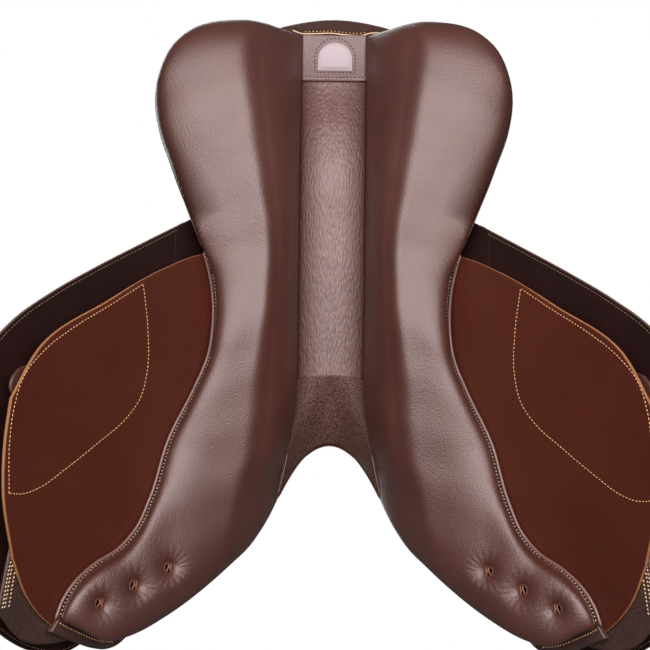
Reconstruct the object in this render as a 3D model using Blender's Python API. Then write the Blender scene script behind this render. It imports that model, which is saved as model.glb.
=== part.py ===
# Jumping saddle, seat up. Metres, +Z up, the pommel towards -Y, the rider's left side at +X.
# Every leather layer is worked out from one underframe surface and its normals.
# The origin lies in the gullet's centre, on the plane that the panels bear on.

import math

import bmesh
import bpy
import numpy as np

# Clearances
GAP = 0.0004
STACK_GAP = 0.0005
TURNING_GAP = 0.0012

# Cross-section of the underframe, as arcs from the gullet outwards
GULLET_HALF_WIDTH = 0.033
GULLET_HEIGHT = 0.0695
GULLET_CROWN = 0.0033
FLAP_TOP_X = 0.112
FLAP_TOP_SLOPE = math.radians(40.0)
GULLET_SLOPE = math.radians(12.5)
FLAP_LOW_SLOPE = math.radians(56.0)
FLAP_ARC_LENGTH = 0.240

# Along the saddle
GULLET_WIDENS_Y = -0.055
GULLET_FLARE_POWER = 1.6
PANEL_REAR_Y = 0.296
LOBE_HALF_WIDTH = 0.174
FLATTEN_FROM_Y = 0.082
FLATTEN_TO_Y = 0.170
REAR_SLOPE_SHARE = 0.35
REAR_RISE = 0.036
REAR_RISE_FROM_Y = 0.130

# Pommel and cantle
ARCH_APEX_Y = -0.121
ARCH_APEX_Z = GULLET_HEIGHT + 0.0255
ARCH_LEAN = 0.77
ARCH_CURVE = 25.0
ARCH_FOOT_X = 0.0445
FACE_FOOT_X = 0.030
FACE_GAP = 0.0018
FACE_BULGE = 0.004
HEAD_RISE = 0.0245
HEAD_HALF_WIDTH = 0.085
HEAD_FROM_Y = 0.030
HEAD_TO_Y = -0.105
CANTLE_RISE = 0.038
CANTLE_FROM_Y = 0.190
TREE_FRONT_Y = -0.099
TREE_CUT_BACK = 0.027
TREE_FLARE_Y = 0.108
TREE_REAR_Y = 0.322
CANTLE_CORNER_Y = 0.250
TREE_HALF_WIDTH = 0.088
TREE_REAR_HALF_WIDTH = 0.128
TREE_THICKNESS = 0.012
TREE_LIFT = 0.001
TREE_SLOT_HALF_WIDTH = 0.026
TREE_SLOT_FRONT_Y = -0.040
TREE_SLOT_REAR_Y = 0.215
# Where the tree's side stands over the flap's section
TREE_SIDE_S = (TREE_HALF_WIDTH - FLAP_TOP_X) / math.cos(FLAP_TOP_SLOPE)

# Leather, foam and webbing
LINING_THICKNESS = 0.0020
LINING_DROP = 0.0035
LINING_SEAM_Y = -0.053
LINING_SEAM_BOW = 0.004
HEAD_LINING_GAP = 0.0014
LINING_REAR_INSET = 0.0020
TAB_FRONT_Y = 0.250
TAB_THICKNESS = 0.0022
BADGE_WIDTH = 0.036
BADGE_LENGTH = 0.030
BADGE_MIDDLE_Y = 0.275
BADGE_THICKNESS = 0.0012
BADGE_SEAT = 0.0002
WEBBING_THICKNESS = 0.0015
WEBBING_HALF_WIDTH = 0.030
GIRTH_WEB_THICKNESS = 0.0012
GIRTH_WEB_WIDTH = 0.044
GIRTH_WEB_FOOT_S = TREE_SIDE_S + 0.0040
GIRTH_WEB_PITCH = 0.046
WEBBING_FRONT_Y = TREE_FRONT_Y + 0.014
WEBBING_REAR_Y = TREE_REAR_Y - 0.037
SPRING_FRONT_Y = TREE_FRONT_Y + 0.029
SPRING_REAR_Y = TREE_REAR_Y - 0.122
SPRING_THICKNESS = 0.0012
SPRING_WIDTH = 0.014
SPRING_X = 0.060
FOAM_EDGE = 0.0105
FOAM_MIDDLE = 0.019
COVER_THICKNESS = 0.0025
COVER_OVERHANG = 0.0034
CANTLE_BACK_THICKNESS = 0.0024
CANTLE_BACK_LEAN = 0.80
SWEAT_FLAP_THICKNESS = 0.0040
FLAP_THICKNESS = 0.0045
SKIRT_THICKNESS = 0.0035
PANEL_RIM = 0.0030
PANEL_DEPTH = 0.055
PANEL_FORWARD_LEAN = 0.62
PANEL_LEAN_FROM_Y = -0.180
PANEL_LEAN_TO_Y = -0.080
PANEL_TILT_SHARE = 0.62
PANEL_GAP = 0.0008
PANEL_CREST_SKEW = 1.78
PANEL_INNER_ROUNDNESS = 1.75
PANEL_OUTER_ROUNDNESS = 2.4
PANEL_FRONT_BLUNTNESS = 6.0
PANEL_REAR_BLUNTNESS = 4.5

# The seam where panel and sweat flap meet, front corner first, as distance down the flap and y
SEAM = [
    (0.187, -0.258),
    (0.170, -0.240),
    (0.151, -0.224),
    (0.124, -0.210),
    (0.094, -0.195),
    (0.074, -0.163),
    (0.053, -0.109),
    (0.024, -0.062),
    (0.008, -0.030),
    (0.003, 0.000),
    (0.004, 0.030),
    (0.013, 0.064),
]
# The rear lobe's outer rim and its rear rim, in plan
LOBE_SIDE = [(0.137, 0.105), (0.156, 0.150), (0.170, 0.190), (0.174, 0.224), (0.167, 0.258)]
LOBE_REAR = [
    (0.050, 0.2985),
    (0.070, 0.302),
    (0.095, 0.303),
    (0.120, 0.299),
    (0.140, 0.290),
    (0.156, 0.276),
]
# The panel's front rim, in plan, from the gullet outwards
PANEL_FRONT = [
    (0.0505, -0.170),
    (0.075, -0.200),
    (0.110, -0.219),
    (0.148, -0.238),
    (0.184, -0.2535),
    (0.213, -0.2605),
]
FACING_THICKNESS = 0.0028
FACING_INNER = [(0.103, -0.2595), (0.143, -0.2662), (0.178, -0.2640)]
FACING_OUTER = [(0.112, -0.277), (0.146, -0.2805), (0.168, -0.2745), (0.185, -0.2655)]
PATCH_INNER = [
    (0.085, 0.031),
    (0.080, -0.006),
    (0.080, -0.044),
    (0.088, -0.070),
    (0.104, -0.088),
    (0.135, -0.108),
    (0.172, -0.129),
]
PATCH_REAR = [
    (0.090, 0.032),
    (0.125, 0.014),
    (0.160, -0.004),
    (0.197, -0.026),
    (0.216, -0.046),
    (0.228, -0.075),
    (0.234, -0.143),
]
PATCH_FOOT = [(0.172, -0.129), (0.205, -0.142), (0.234, -0.143)]
THIGH_FRONT = [(0.060, 0.018), (0.095, 0.010), (0.130, 0.002)]
THIGH_REAR = [(0.062, 0.044), (0.095, 0.031), (0.125, 0.013)]
KNEE_FRONT = [(0.075, -0.236), (0.120, -0.268), (0.170, -0.281), (0.212, -0.272), (0.240, -0.243)]
KNEE_REAR = [(0.075, -0.196), (0.115, -0.205), (0.155, -0.205), (0.195, -0.196), (0.225, -0.182)]
# The outer flap, as distance down from its hinge and y
FLAP_REAR = [
    (0.001, 0.100),
    (0.033, 0.077),
    (0.082, 0.053),
    (0.130, 0.027),
    (0.177, -0.004),
    (0.215, -0.040),
]
FLAP_LOW = [(0.225, -0.230), (0.248, -0.185), (0.254, -0.130), (0.243, -0.080), (0.215, -0.040)]
FLAP_FRONT = [
    (0.001, -0.205),
    (0.030, -0.232),
    (0.060, -0.262),
    (0.095, -0.287),
    (0.125, -0.297),
    (0.160, -0.288),
    (0.195, -0.264),
    (0.225, -0.230),
]
KNEE_PAD_FRONT = [(0.030, -0.222), (0.080, -0.270), (0.125, -0.288), (0.165, -0.275)]
KNEE_PAD_REAR = [(0.030, -0.168), (0.080, -0.190), (0.125, -0.212), (0.160, -0.235)]
KEEPER_T = 0.155
KEEPER_WIDTH = 0.022
KEEPER_FRONT_Y = -0.130
KEEPER_LENGTH = 0.080
KEEPER_RISE = 0.0085
KEEPER_THICKNESS = 0.0025
KEEPER_ROWS = 19
KEEPER_BOW_SHARES = (0.15, 0.75)
SWEAT_FLAP_REAR = [
    (-0.010, 0.069),
    (0.016, 0.067),
    (0.060, 0.052),
    (0.125, 0.020),
    (0.200, -0.021),
    (0.232, -0.065),
]
SWEAT_FLAP_LOW = [(0.232, -0.065), (0.238, -0.100), (0.239, -0.145), (0.228, -0.199)]
SWEAT_FLAP_FRONT = [
    (-0.010, -0.180),
    (0.020, -0.204),
    (0.060, -0.237),
    (0.100, -0.272),
    (0.125, -0.285),
    (0.146, -0.283),
]
SWEAT_FLAP_FRONT_LOW = [
    (0.146, -0.283),
    (0.168, -0.275),
    (0.190, -0.260),
    (0.212, -0.235),
    (0.228, -0.199),
]

# Gullet arch
ARCH_PLATE_THICKNESS = 0.0045
ARCH_PLATE_WIDTH = 0.026
ARCH_PLATE_Y = -0.099
ARCH_TURN_X = 0.086
ARCH_TURN_Y = -0.133
ARCH_POINT_Y = -0.165
ARCH_TURN_S = -0.0275
ARCH_TURN_LIFT = 0.0018
ARCH_TOP_GAP = 0.0010
ARCH_POINT_LENGTH = 0.062
ARCH_PLATE_ROOM = 0.006
ARCH_SWEEP_POWER = 1.5
ARCH_TAPER = 0.35

# Outer flap, skirt and what lies between the flaps
HINGE_S = 0.035
HINGE_OFFSET = 0.0125
FLAP_SLOPE = math.radians(39.5)
FLAP_SLOPE_LOW = math.radians(53.0)
FLAP_LENGTH = 0.256
HINGE_GAP = 0.0010
ROOT_REST_S = TREE_SIDE_S - 0.0022
ROOT_TOP = [
    (-0.030, -0.160),
    (-0.024, -0.132),
    (-0.012, -0.120),
    (-0.012, -0.050),
    (-0.012, 0.040),
    (-0.026, 0.054),
    (ROOT_REST_S, 0.066),
    (ROOT_REST_S, 0.111),
]
ROOT_LOW = [
    (HINGE_S - HINGE_GAP, -0.203),
    (HINGE_S - HINGE_GAP, -0.100),
    (HINGE_S - HINGE_GAP, 0.000),
    (HINGE_S - HINGE_GAP, 0.099),
]
SKIRT_TOP_X = TREE_HALF_WIDTH + 0.0038
SKIRT_TOP_Z = GULLET_HEIGHT + 0.0105
SKIRT_START = 0.0006
SKIRT_LENGTH = 0.071
SKIRT_SLOPE = math.radians(22.0)
SKIRT_SLOPE_LOW = math.radians(54.0)
SKIRT_FRONT = [(SKIRT_START, -0.134), (0.030, -0.150), (0.056, -0.146)]
SKIRT_REAR = [(SKIRT_START, 0.095), (0.030, 0.091), (0.052, 0.078)]
SKIRT_TOP = [(SKIRT_START, -0.134), (SKIRT_START, 0.095)]
SKIRT_LOW = [(0.056, -0.146), (0.068, -0.120), (0.070, -0.050), (0.067, 0.040), (0.052, 0.078)]

BILLET_WIDTH = 0.025
BILLET_PITCH = 0.034
BILLET_MIDDLE_Y = -0.028
BILLET_THICKNESS = 0.0034
BILLET_OFFSET = 0.0062
BILLET_SLANT = 0.268
BILLET_RISE = 0.0016
BILLET_RISE_S = 0.036
BILLET_TOP_S = -0.008
BILLET_LENGTH = 0.235
GUARD_TOP_S = 0.100
GUARD_LENGTH = 0.062
GUARD_THICKNESS = 0.0010
GUARD_MARGIN = 0.003

PATCH_THICKNESS = 0.0013
BLOCK_RIM = 0.0020
# The crown's height at each block's top and at its low end
THIGH_CROWN = (0.004, 0.006)
KNEE_CROWN = (0.004, 0.015)
KNEE_PAD_RIM = 0.0015
KNEE_PAD_CROWN = (0.004, 0.005)

BAR_FRONT_Y = -0.117
BAR_PLATE_REAR_Y = -0.077
BAR_REAR_Y = -0.030
BAR_TOP_S = -0.020
BAR_LOW_S = -0.008
BAR_OFFSET = 0.0210
BAR_THICKNESS = 0.0040
BAR_PLATE_THICKNESS = 0.0030
BAR_LUG_WIDTH = 0.011
BAR_LUG_LOW = 0.004
BAR_LUG_BITE = 0.0025
BAR_LUG_SETBACK = 0.0005
BAR_KNUCKLE_WIDTH = 0.005
BAR_PIN_RADIUS = 0.0009
BAR_PIN_GAP = 0.00015
PIN_SIDES = 16
EYE_SHARE = 0.97
CATCH_NECK = 0.006
CATCH_LENGTH = 0.013

DEE_X = 0.060
DEE_Y = -0.1449
DEE_Z = GULLET_HEIGHT + 0.0105
RING_RADIUS = 0.0105
RING_DROP = 0.0150
RING_WIRE = 0.0014
RING_GAP = 0.0004
CHAPE_WIDTH = 0.014
CHAPE_THICKNESS = 0.0018
CHAPE_RISE = 0.011

NAIL_RADIUS = 0.0055
NAIL_SEAT = 0.0004
NAIL_INSET = 0.014
NAIL_SIDES = 14
NAIL_PROFILE = ((1.0, 0.0), (0.95, 0.0012), (0.65, 0.0025), (0.30, 0.0030))
NAIL_FRONT_Y = -0.105
NAIL_REAR_Y = 0.090

COLOURS = {
    "panel leather": ((0.185, 0.095, 0.080), 0.42, 0.0),
    "lining leather": ((0.200, 0.125, 0.110), 0.50, 0.0),
    "flap leather": ((0.072, 0.020, 0.013), 0.34, 0.0),
    "dark flap leather": ((0.030, 0.013, 0.011), 0.45, 0.0),
    "seat leather": ((0.060, 0.030, 0.024), 0.40, 0.0),
    "block leather": ((0.060, 0.028, 0.020), 0.46, 0.0),
    "strap leather": ((0.045, 0.020, 0.014), 0.45, 0.0),
    "hook and loop": ((0.030, 0.014, 0.011), 0.90, 0.0),
    "badge plate": ((0.780, 0.780, 0.780), 0.35, 0.0),
    "moulded tree": ((0.035, 0.035, 0.038), 0.55, 0.0),
    "steel": ((0.560, 0.570, 0.580), 0.28, 1.0),
    "webbing": ((0.560, 0.520, 0.440), 0.85, 0.0),
    "foam": ((0.620, 0.590, 0.500), 0.95, 0.0),
}


def clear_scene():
    for item in list(bpy.data.objects):
        bpy.data.objects.remove(item, do_unlink=True)


def make_material(name, finish):
    colour, roughness, metallic = COLOURS[finish]
    material = bpy.data.materials.new(name + " " + finish)
    material.use_nodes = True
    shader = material.node_tree.nodes["Principled BSDF"]
    shader.inputs["Base Color"].default_value = (*colour, 1.0)
    shader.inputs["Roughness"].default_value = roughness
    shader.inputs["Metallic"].default_value = metallic
    return material


def add_object(name, finish, verts, faces, sharp_angle=40.0):
    mesh = bpy.data.meshes.new(name)
    mesh.from_pydata([tuple(v) for v in verts], [], [tuple(f) for f in faces])
    solid = bmesh.new()
    solid.from_mesh(mesh)
    bmesh.ops.recalc_face_normals(solid, faces=solid.faces)
    solid.to_mesh(mesh)
    solid.free()
    mesh.shade_smooth()
    mesh.set_sharp_from_angle(angle=math.radians(sharp_angle))
    mesh.materials.append(make_material(name, finish))
    item = bpy.data.objects.new(name, mesh)
    bpy.context.scene.collection.objects.link(item)
    return item


def set_origin(item, point):
    # Moves the object's origin to a joint's axis and leaves its shape where it is.
    offset = np.array(point, float)
    for vertex in item.data.vertices:
        vertex.co = vertex.co - type(vertex.co)(offset)
    item.location = offset


# Curves and grids

def spread(count, crowd=0.0):
    # Shares from 0 to 1, evenly spaced or crowded towards both ends.
    t = np.linspace(0.0, 1.0, count)
    return (1 - crowd) * t + crowd * (1 - np.cos(math.pi * t)) / 2


def smooth_curve(points, shares):
    # A smooth curve through the points, read at the given shares of its length.
    pts = np.array(points, float)
    if len(pts) == 2:
        return pts[0] + (pts[1] - pts[0]) * shares[:, None]
    knots = np.concatenate([[0.0], np.cumsum(np.linalg.norm(np.diff(pts, axis=0), axis=1))])
    slopes = np.gradient(pts, knots, axis=0)
    dense = np.linspace(0.0, knots[-1], 40 * len(pts))
    span = np.clip(np.searchsorted(knots, dense, side="right") - 1, 0, len(pts) - 2)
    width = (knots[span + 1] - knots[span])[:, None]
    t = ((dense - knots[span]) / width[:, 0])[:, None]
    curve = (
        (2 * t**3 - 3 * t**2 + 1) * pts[span]
        + (t**3 - 2 * t**2 + t) * width * slopes[span]
        + (3 * t**2 - 2 * t**3) * pts[span + 1]
        + (t**3 - t**2) * width * slopes[span + 1]
    )
    along = np.concatenate([[0.0], np.cumsum(np.linalg.norm(np.diff(curve, axis=0), axis=1))])
    wanted = shares * along[-1]
    return np.stack([np.interp(wanted, along, curve[:, i]) for i in range(pts.shape[1])], 1)


def four_sided_grid(side_a, side_b, end_a, end_b, u_shares, v_shares):
    # Points inside four smooth border curves. The sides run along u, the ends from side_a to side_b.
    a = smooth_curve(side_a, u_shares)[:, None, :]
    b = smooth_curve(side_b, u_shares)[:, None, :]
    e = smooth_curve(end_a, v_shares)[None, :, :]
    f = smooth_curve(end_b, v_shares)[None, :, :]
    u = u_shares[:, None, None]
    v = v_shares[None, :, None]
    corners = (1 - u) * ((1 - v) * a[0] + v * b[0]) + u * ((1 - v) * a[-1] + v * b[-1])
    return (1 - v) * a + v * b + (1 - u) * e + u * f - corners


def open_grid(side_a, side_b, rows, columns):
    # The same between two sides, with straight ends.
    return four_sided_grid(
        side_a, side_b, [side_a[0], side_b[0]], [side_a[-1], side_b[-1]], spread(rows), spread(columns)
    )


def closed_sheet(name, finish, low, high, sharp_angle=40.0):
    # A solid between two grids of the same size, with a wall round the rim.
    rows, columns = low.shape[:2]
    verts = np.concatenate([low.reshape(-1, 3), high.reshape(-1, 3)])
    index = np.arange(rows * columns).reshape(rows, columns)
    shift = rows * columns
    cells = np.stack(
        [index[:-1, :-1], index[1:, :-1], index[1:, 1:], index[:-1, 1:]], -1
    ).reshape(-1, 4)
    rim = np.concatenate([index[0, :], index[1:, -1], index[-1, -2::-1], index[-2:0:-1, 0]])
    after = np.roll(rim, -1)
    walls = np.stack([rim, after, after + shift, rim + shift], 1)
    faces = np.concatenate([cells, cells[:, ::-1] + shift, walls])
    return add_object(name, finish, verts, faces, sharp_angle)


def ease(value, start, end):
    t = np.clip((np.asarray(value, float) - start) / (end - start), 0.0, 1.0)
    return t * t * (3 - 2 * t)


# The underframe surface

INNER_RADIUS = (FLAP_TOP_X - GULLET_HALF_WIDTH) / (math.sin(FLAP_TOP_SLOPE) - math.sin(GULLET_SLOPE))
FLAP_TOP_Z = GULLET_HEIGHT - INNER_RADIUS * (math.cos(GULLET_SLOPE) - math.cos(FLAP_TOP_SLOPE))
FLAP_CURL = (FLAP_LOW_SLOPE - FLAP_TOP_SLOPE) / FLAP_ARC_LENGTH


def section_height(x):
    # Height of the waist's cross-section: a crown over the gullet, then two arcs.
    x = np.abs(np.asarray(x, float))
    crown = GULLET_HEIGHT + GULLET_CROWN * (1 - (x / GULLET_HALF_WIDTH) ** 2)
    radius = np.where(x < FLAP_TOP_X, INNER_RADIUS, 1.0 / FLAP_CURL)
    lean = np.clip(math.sin(FLAP_TOP_SLOPE) + (x - FLAP_TOP_X) / radius, 0.0, 0.999)
    arcs = FLAP_TOP_Z + radius * (np.sqrt(1 - lean**2) - math.cos(FLAP_TOP_SLOPE))
    return np.where(x < GULLET_HALF_WIDTH, crown, arcs)


def frame_height(x, y):
    # Top of the panels: the waist's section, flatter and higher towards the cantle.
    x = np.abs(np.asarray(x, float))
    share = 1 - (1 - REAR_SLOPE_SHARE) * ease(y, FLATTEN_FROM_Y, FLATTEN_TO_Y)
    rise = REAR_RISE * ease(y, REAR_RISE_FROM_Y, PANEL_REAR_Y)
    drop = GULLET_HEIGHT - section_height(x)
    side = 1 - (x / (LOBE_HALF_WIDTH + GULLET_HALF_WIDTH)) ** 2
    return GULLET_HEIGHT - share * drop + rise * side


def flap_angle(s):
    # Slope below the horizontal at the distance s down the flap's section.
    s = np.asarray(s, float)
    return FLAP_TOP_SLOPE + s * np.where(s < 0, 1.0 / INNER_RADIUS, FLAP_CURL)


def on_flap(s, y, offset):
    # A point at s down the section and y along it, offset outwards from the sweat flap's inner face.
    s = np.asarray(s, float)
    angle = flap_angle(s)
    radius = np.where(s < 0, INNER_RADIUS, 1.0 / FLAP_CURL)
    x = FLAP_TOP_X + radius * (np.sin(angle) - math.sin(FLAP_TOP_SLOPE))
    z = FLAP_TOP_Z + radius * (np.cos(angle) - math.cos(FLAP_TOP_SLOPE))
    offset = np.asarray(offset, float)
    y = np.broadcast_to(np.asarray(y, float), x.shape)
    return np.stack([x + offset * np.sin(angle), y, z + offset * np.cos(angle)], -1)


HINGE_POINT = on_flap(HINGE_S, 0.0, HINGE_OFFSET)
# The flap bends about its outer face, so that its edge turns clear of the root's.
HINGE_AXIS = on_flap(HINGE_S, 0.0, HINGE_OFFSET + FLAP_THICKNESS / 2)


def on_arc(start_x, start_z, slope, slope_low, length, t, y, offset):
    # The same for a sheet with an arc of its own, from its top edge down.
    t = np.asarray(t, float)
    curl = (slope_low - slope) / length
    angle = slope + curl * t
    x = start_x + (np.sin(angle) - math.sin(slope)) / curl
    z = start_z + (np.cos(angle) - math.cos(slope)) / curl
    y = np.broadcast_to(np.asarray(y, float), x.shape)
    return np.stack([x + offset * np.sin(angle), y, z + offset * np.cos(angle)], -1)


def on_outer_flap(t, y, offset):
    return on_arc(
        HINGE_POINT[0], HINGE_POINT[2], FLAP_SLOPE, FLAP_SLOPE_LOW, FLAP_LENGTH, t, y, offset
    )


def on_skirt(t, y, offset):
    return on_arc(
        SKIRT_TOP_X, SKIRT_TOP_Z, SKIRT_SLOPE, SKIRT_SLOPE_LOW, SKIRT_LENGTH, t, y, offset
    )


def mirrored(grid, side):
    return grid * np.array([side, 1.0, 1.0])


def tree_underside(x, y):
    # Raised into the pommel's arch at the front and up the cantle at the rear.
    x = np.abs(np.asarray(x, float))
    arch = np.clip(1 - (x / HEAD_HALF_WIDTH) ** 2, 0.0, 1.0) ** 2
    head = (HEAD_RISE * arch + ARCH_PLATE_ROOM) * (1 - ease(y, HEAD_TO_Y, HEAD_FROM_Y))
    cantle = CANTLE_RISE * ease(y, CANTLE_FROM_Y, TREE_REAR_Y) * (1 - (x / LOBE_HALF_WIDTH) ** 2)
    return frame_height(x, y) + TREE_LIFT + head + cantle


def seat_grid(overhang, rows, columns):
    # The seat's plan as a grid, wider than the tree by the overhang.
    half = TREE_HALF_WIDTH + overhang
    rear_half = TREE_REAR_HALF_WIDTH + overhang
    front_y = TREE_FRONT_Y - overhang
    shoulder_y = front_y - TREE_CUT_BACK
    rear_y = TREE_REAR_Y + overhang
    flare = rear_half - half
    side = [
        (half, shoulder_y),
        (half, TREE_FLARE_Y - 0.060),
        (half, TREE_FLARE_Y),
        (half + 0.45 * flare, TREE_FLARE_Y + 0.052),
        (half + 0.95 * flare, CANTLE_CORNER_Y - 0.038),
        (half + 0.85 * flare, CANTLE_CORNER_Y),
    ]
    rim = [
        (half + 0.85 * flare, CANTLE_CORNER_Y),
        (0.80 * TREE_REAR_HALF_WIDTH + overhang, TREE_REAR_Y - 0.036 + overhang),
        (0.48 * TREE_REAR_HALF_WIDTH, rear_y - 0.013),
        (0.0, rear_y),
    ]
    rear = [(-x, y) for x, y in rim] + rim[2::-1]
    front = [
        (-half, shoulder_y),
        (-half / 2, front_y - TREE_CUT_BACK / 3),
        (0.0, front_y),
        (half / 2, front_y - TREE_CUT_BACK / 3),
        (half, shoulder_y),
    ]
    flip = np.array([-1.0, 1.0])
    return four_sided_grid(side * flip, side, front, rear, spread(rows), spread(columns))


def lifted(plan, height):
    return np.concatenate([plan, height[..., None]], -1)


SEAT_ROWS = 23
SEAT_COLUMNS = 15


def make_tree():
    plan = seat_grid(0.0, SEAT_ROWS, SEAT_COLUMNS)
    under = tree_underside(plan[..., 0], plan[..., 1])
    low = lifted(plan, under)
    high = lifted(plan, under + TREE_THICKNESS)
    tree = closed_sheet("tree", "moulded tree", low, high)
    slot_length = TREE_SLOT_REAR_Y - TREE_SLOT_FRONT_Y
    bpy.ops.mesh.primitive_cylinder_add(
        vertices=28,
        radius=TREE_SLOT_HALF_WIDTH,
        depth=0.3,
        location=(0.0, TREE_SLOT_FRONT_Y + TREE_SLOT_HALF_WIDTH, GULLET_HEIGHT),
    )
    cutter = bpy.context.object
    cutter.name = "slot cutter"
    for vertex in cutter.data.vertices:
        if vertex.co.y > 0.0:
            vertex.co.y += slot_length - 2 * TREE_SLOT_HALF_WIDTH
    cutter.hide_render = True
    cutter.display_type = "WIRE"
    slot = tree.modifiers.new("slot", "BOOLEAN")
    slot.operation = "DIFFERENCE"
    slot.solver = "EXACT"
    slot.object = cutter


def tree_top(x, y):
    return tree_underside(x, y) + TREE_THICKNESS


def strip_on_tree(name, finish, x_range, y_range, lift, thickness, counts):
    x = np.linspace(*x_range, counts[0])
    y = np.linspace(*y_range, counts[1])
    plan = np.stack(np.meshgrid(x, y, indexing="ij"), -1)
    height = tree_top(plan[..., 0], plan[..., 1]) + lift
    closed_sheet(name, finish, lifted(plan, height), lifted(plan, height + thickness))


SPRING_LIFT = 2 * STACK_GAP
WEBBING_LIFT = 1.6 * STACK_GAP
GIRTH_WEB_LIFT = WEBBING_LIFT + WEBBING_THICKNESS + STACK_GAP
FOAM_LIFT = GIRTH_WEB_LIFT + GIRTH_WEB_THICKNESS + 3 * STACK_GAP


def make_tree_fittings():
    half = WEBBING_HALF_WIDTH
    strip_on_tree(
        "seat_webbing",
        "webbing",
        (-half, half),
        (WEBBING_FRONT_Y, WEBBING_REAR_Y),
        WEBBING_LIFT,
        WEBBING_THICKNESS,
        (7, 21),
    )
    for side, word in ((1, "left"), (-1, "right")):
        inner = side * SPRING_X - SPRING_WIDTH / 2
        strip_on_tree(
            "rail_spring_" + word,
            "steel",
            (inner, inner + SPRING_WIDTH),
            (SPRING_FRONT_Y, SPRING_REAR_Y),
            SPRING_LIFT,
            SPRING_THICKNESS,
            (3, 23),
        )


def make_girth_web(name, middle_y):
    # Over the tree, down its side and out on to the sweat flap, where the girth straps are sewn on.
    thick = GIRTH_WEB_THICKNESS
    over = np.linspace(0.0, TREE_HALF_WIDTH, 10)
    side_x = TREE_HALF_WIDTH + GAP
    foot_s = np.linspace(GIRTH_WEB_FOOT_S, BILLET_TOP_S + 0.006, 3)
    foot_offset = SWEAT_FLAP_THICKNESS + STACK_GAP
    foot = on_flap(foot_s, 0.0, foot_offset)
    foot_outer = on_flap(foot_s, 0.0, foot_offset + thick)
    rows_low, rows_high = [], []
    for y in np.linspace(middle_y - GIRTH_WEB_WIDTH / 2, middle_y + GIRTH_WEB_WIDTH / 2, 7):
        top = tree_top(over, y) + GIRTH_WEB_LIFT
        low = [*zip(over, top), (side_x, top[-1] - 0.001), *foot[:, [0, 2]]]
        high = [*zip(over, top + thick), (side_x + thick, top[-1] - 0.001)]
        high += [*foot_outer[:, [0, 2]]]
        for points, rows in ((low, rows_low), (high, rows_high)):
            half = np.array([(x, y, z) for x, z in points])
            flip = np.array([-1.0, 1.0, 1.0])
            rows.append(np.concatenate([half[:0:-1] * flip, half]))
    closed_sheet(name, "webbing", np.array(rows_low), np.array(rows_high))


def foam_depth(rows, columns):
    u = np.linspace(-1.0, 1.0, rows)[:, None]
    v = np.linspace(-1.0, 1.0, columns)[None, :]
    return FOAM_EDGE + (FOAM_MIDDLE - FOAM_EDGE) * (1 - u**8) * (1 - v**4)


def make_seat():
    plan = seat_grid(-0.002, SEAT_ROWS, SEAT_COLUMNS)
    base = tree_top(plan[..., 0], plan[..., 1]) + FOAM_LIFT
    depth = foam_depth(SEAT_ROWS, SEAT_COLUMNS)
    closed_sheet("seat_foam", "foam", lifted(plan, base), lifted(plan, base + depth))
    wide = seat_grid(COVER_OVERHANG, SEAT_ROWS, SEAT_COLUMNS)
    under = tree_top(wide[..., 0], wide[..., 1]) + FOAM_LIFT + depth + 2 * STACK_GAP
    cover_low = lifted(wide, under)
    cover_high = lifted(wide, under + COVER_THICKNESS)
    closed_sheet("seat_cover", "seat leather", cover_low, cover_high)
    return cover_high


def make_cantle_back():
    # Hangs under the cover's rear rim, behind the tree's, and leans forward to the panels' rear tops.
    plan = seat_grid(GAP, SEAT_ROWS, SEAT_COLUMNS)[-1]
    edge = tree_top(plan[:, 0], plan[:, 1]) + FOAM_LIFT + FOAM_EDGE + STACK_GAP
    under = tree_underside(plan[:, 0], plan[:, 1]) - STACK_GAP
    foot = frame_height(plan[:, 0], np.minimum(plan[:, 1], PANEL_REAR_Y)) + CANTLE_BACK_THICKNESS
    top_row = lifted(plan, edge - 2 * STACK_GAP)
    bend_row = lifted(plan, under)
    foot_plan = plan - np.stack([0 * foot, CANTLE_BACK_LEAN * (under - foot)], -1)
    foot_row = lifted(foot_plan, foot)
    inner = np.stack([top_row, (top_row + bend_row) / 2, bend_row, (bend_row + foot_row) / 2, foot_row])
    thick = CANTLE_BACK_THICKNESS
    push = np.zeros((5, 3))
    push[:4, 1] = thick
    push[2:, 2] = [-thick / 2, -thick, STACK_GAP - thick]
    closed_sheet("cantle_back", "seat leather", inner, inner + push[:, None, :])


def in_plan(points):
    # Turns points on the flap (distance down, y) into plan points.
    pts = np.array(points, float)
    return np.stack([on_flap(pts[:, 0], 0.0, 0.0)[:, 0], pts[:, 1]], 1)


def gullet_half_width(y):
    # The gullet widens from the waist to the pommel's arch.
    front_x, front_y = PANEL_FRONT[0]
    ahead = np.clip((GULLET_WIDENS_Y - np.asarray(y, float)) / (GULLET_WIDENS_Y - front_y), 0.0, None)
    return GULLET_HALF_WIDTH + (front_x - GULLET_HALF_WIDTH) * ahead**GULLET_FLARE_POWER


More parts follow.
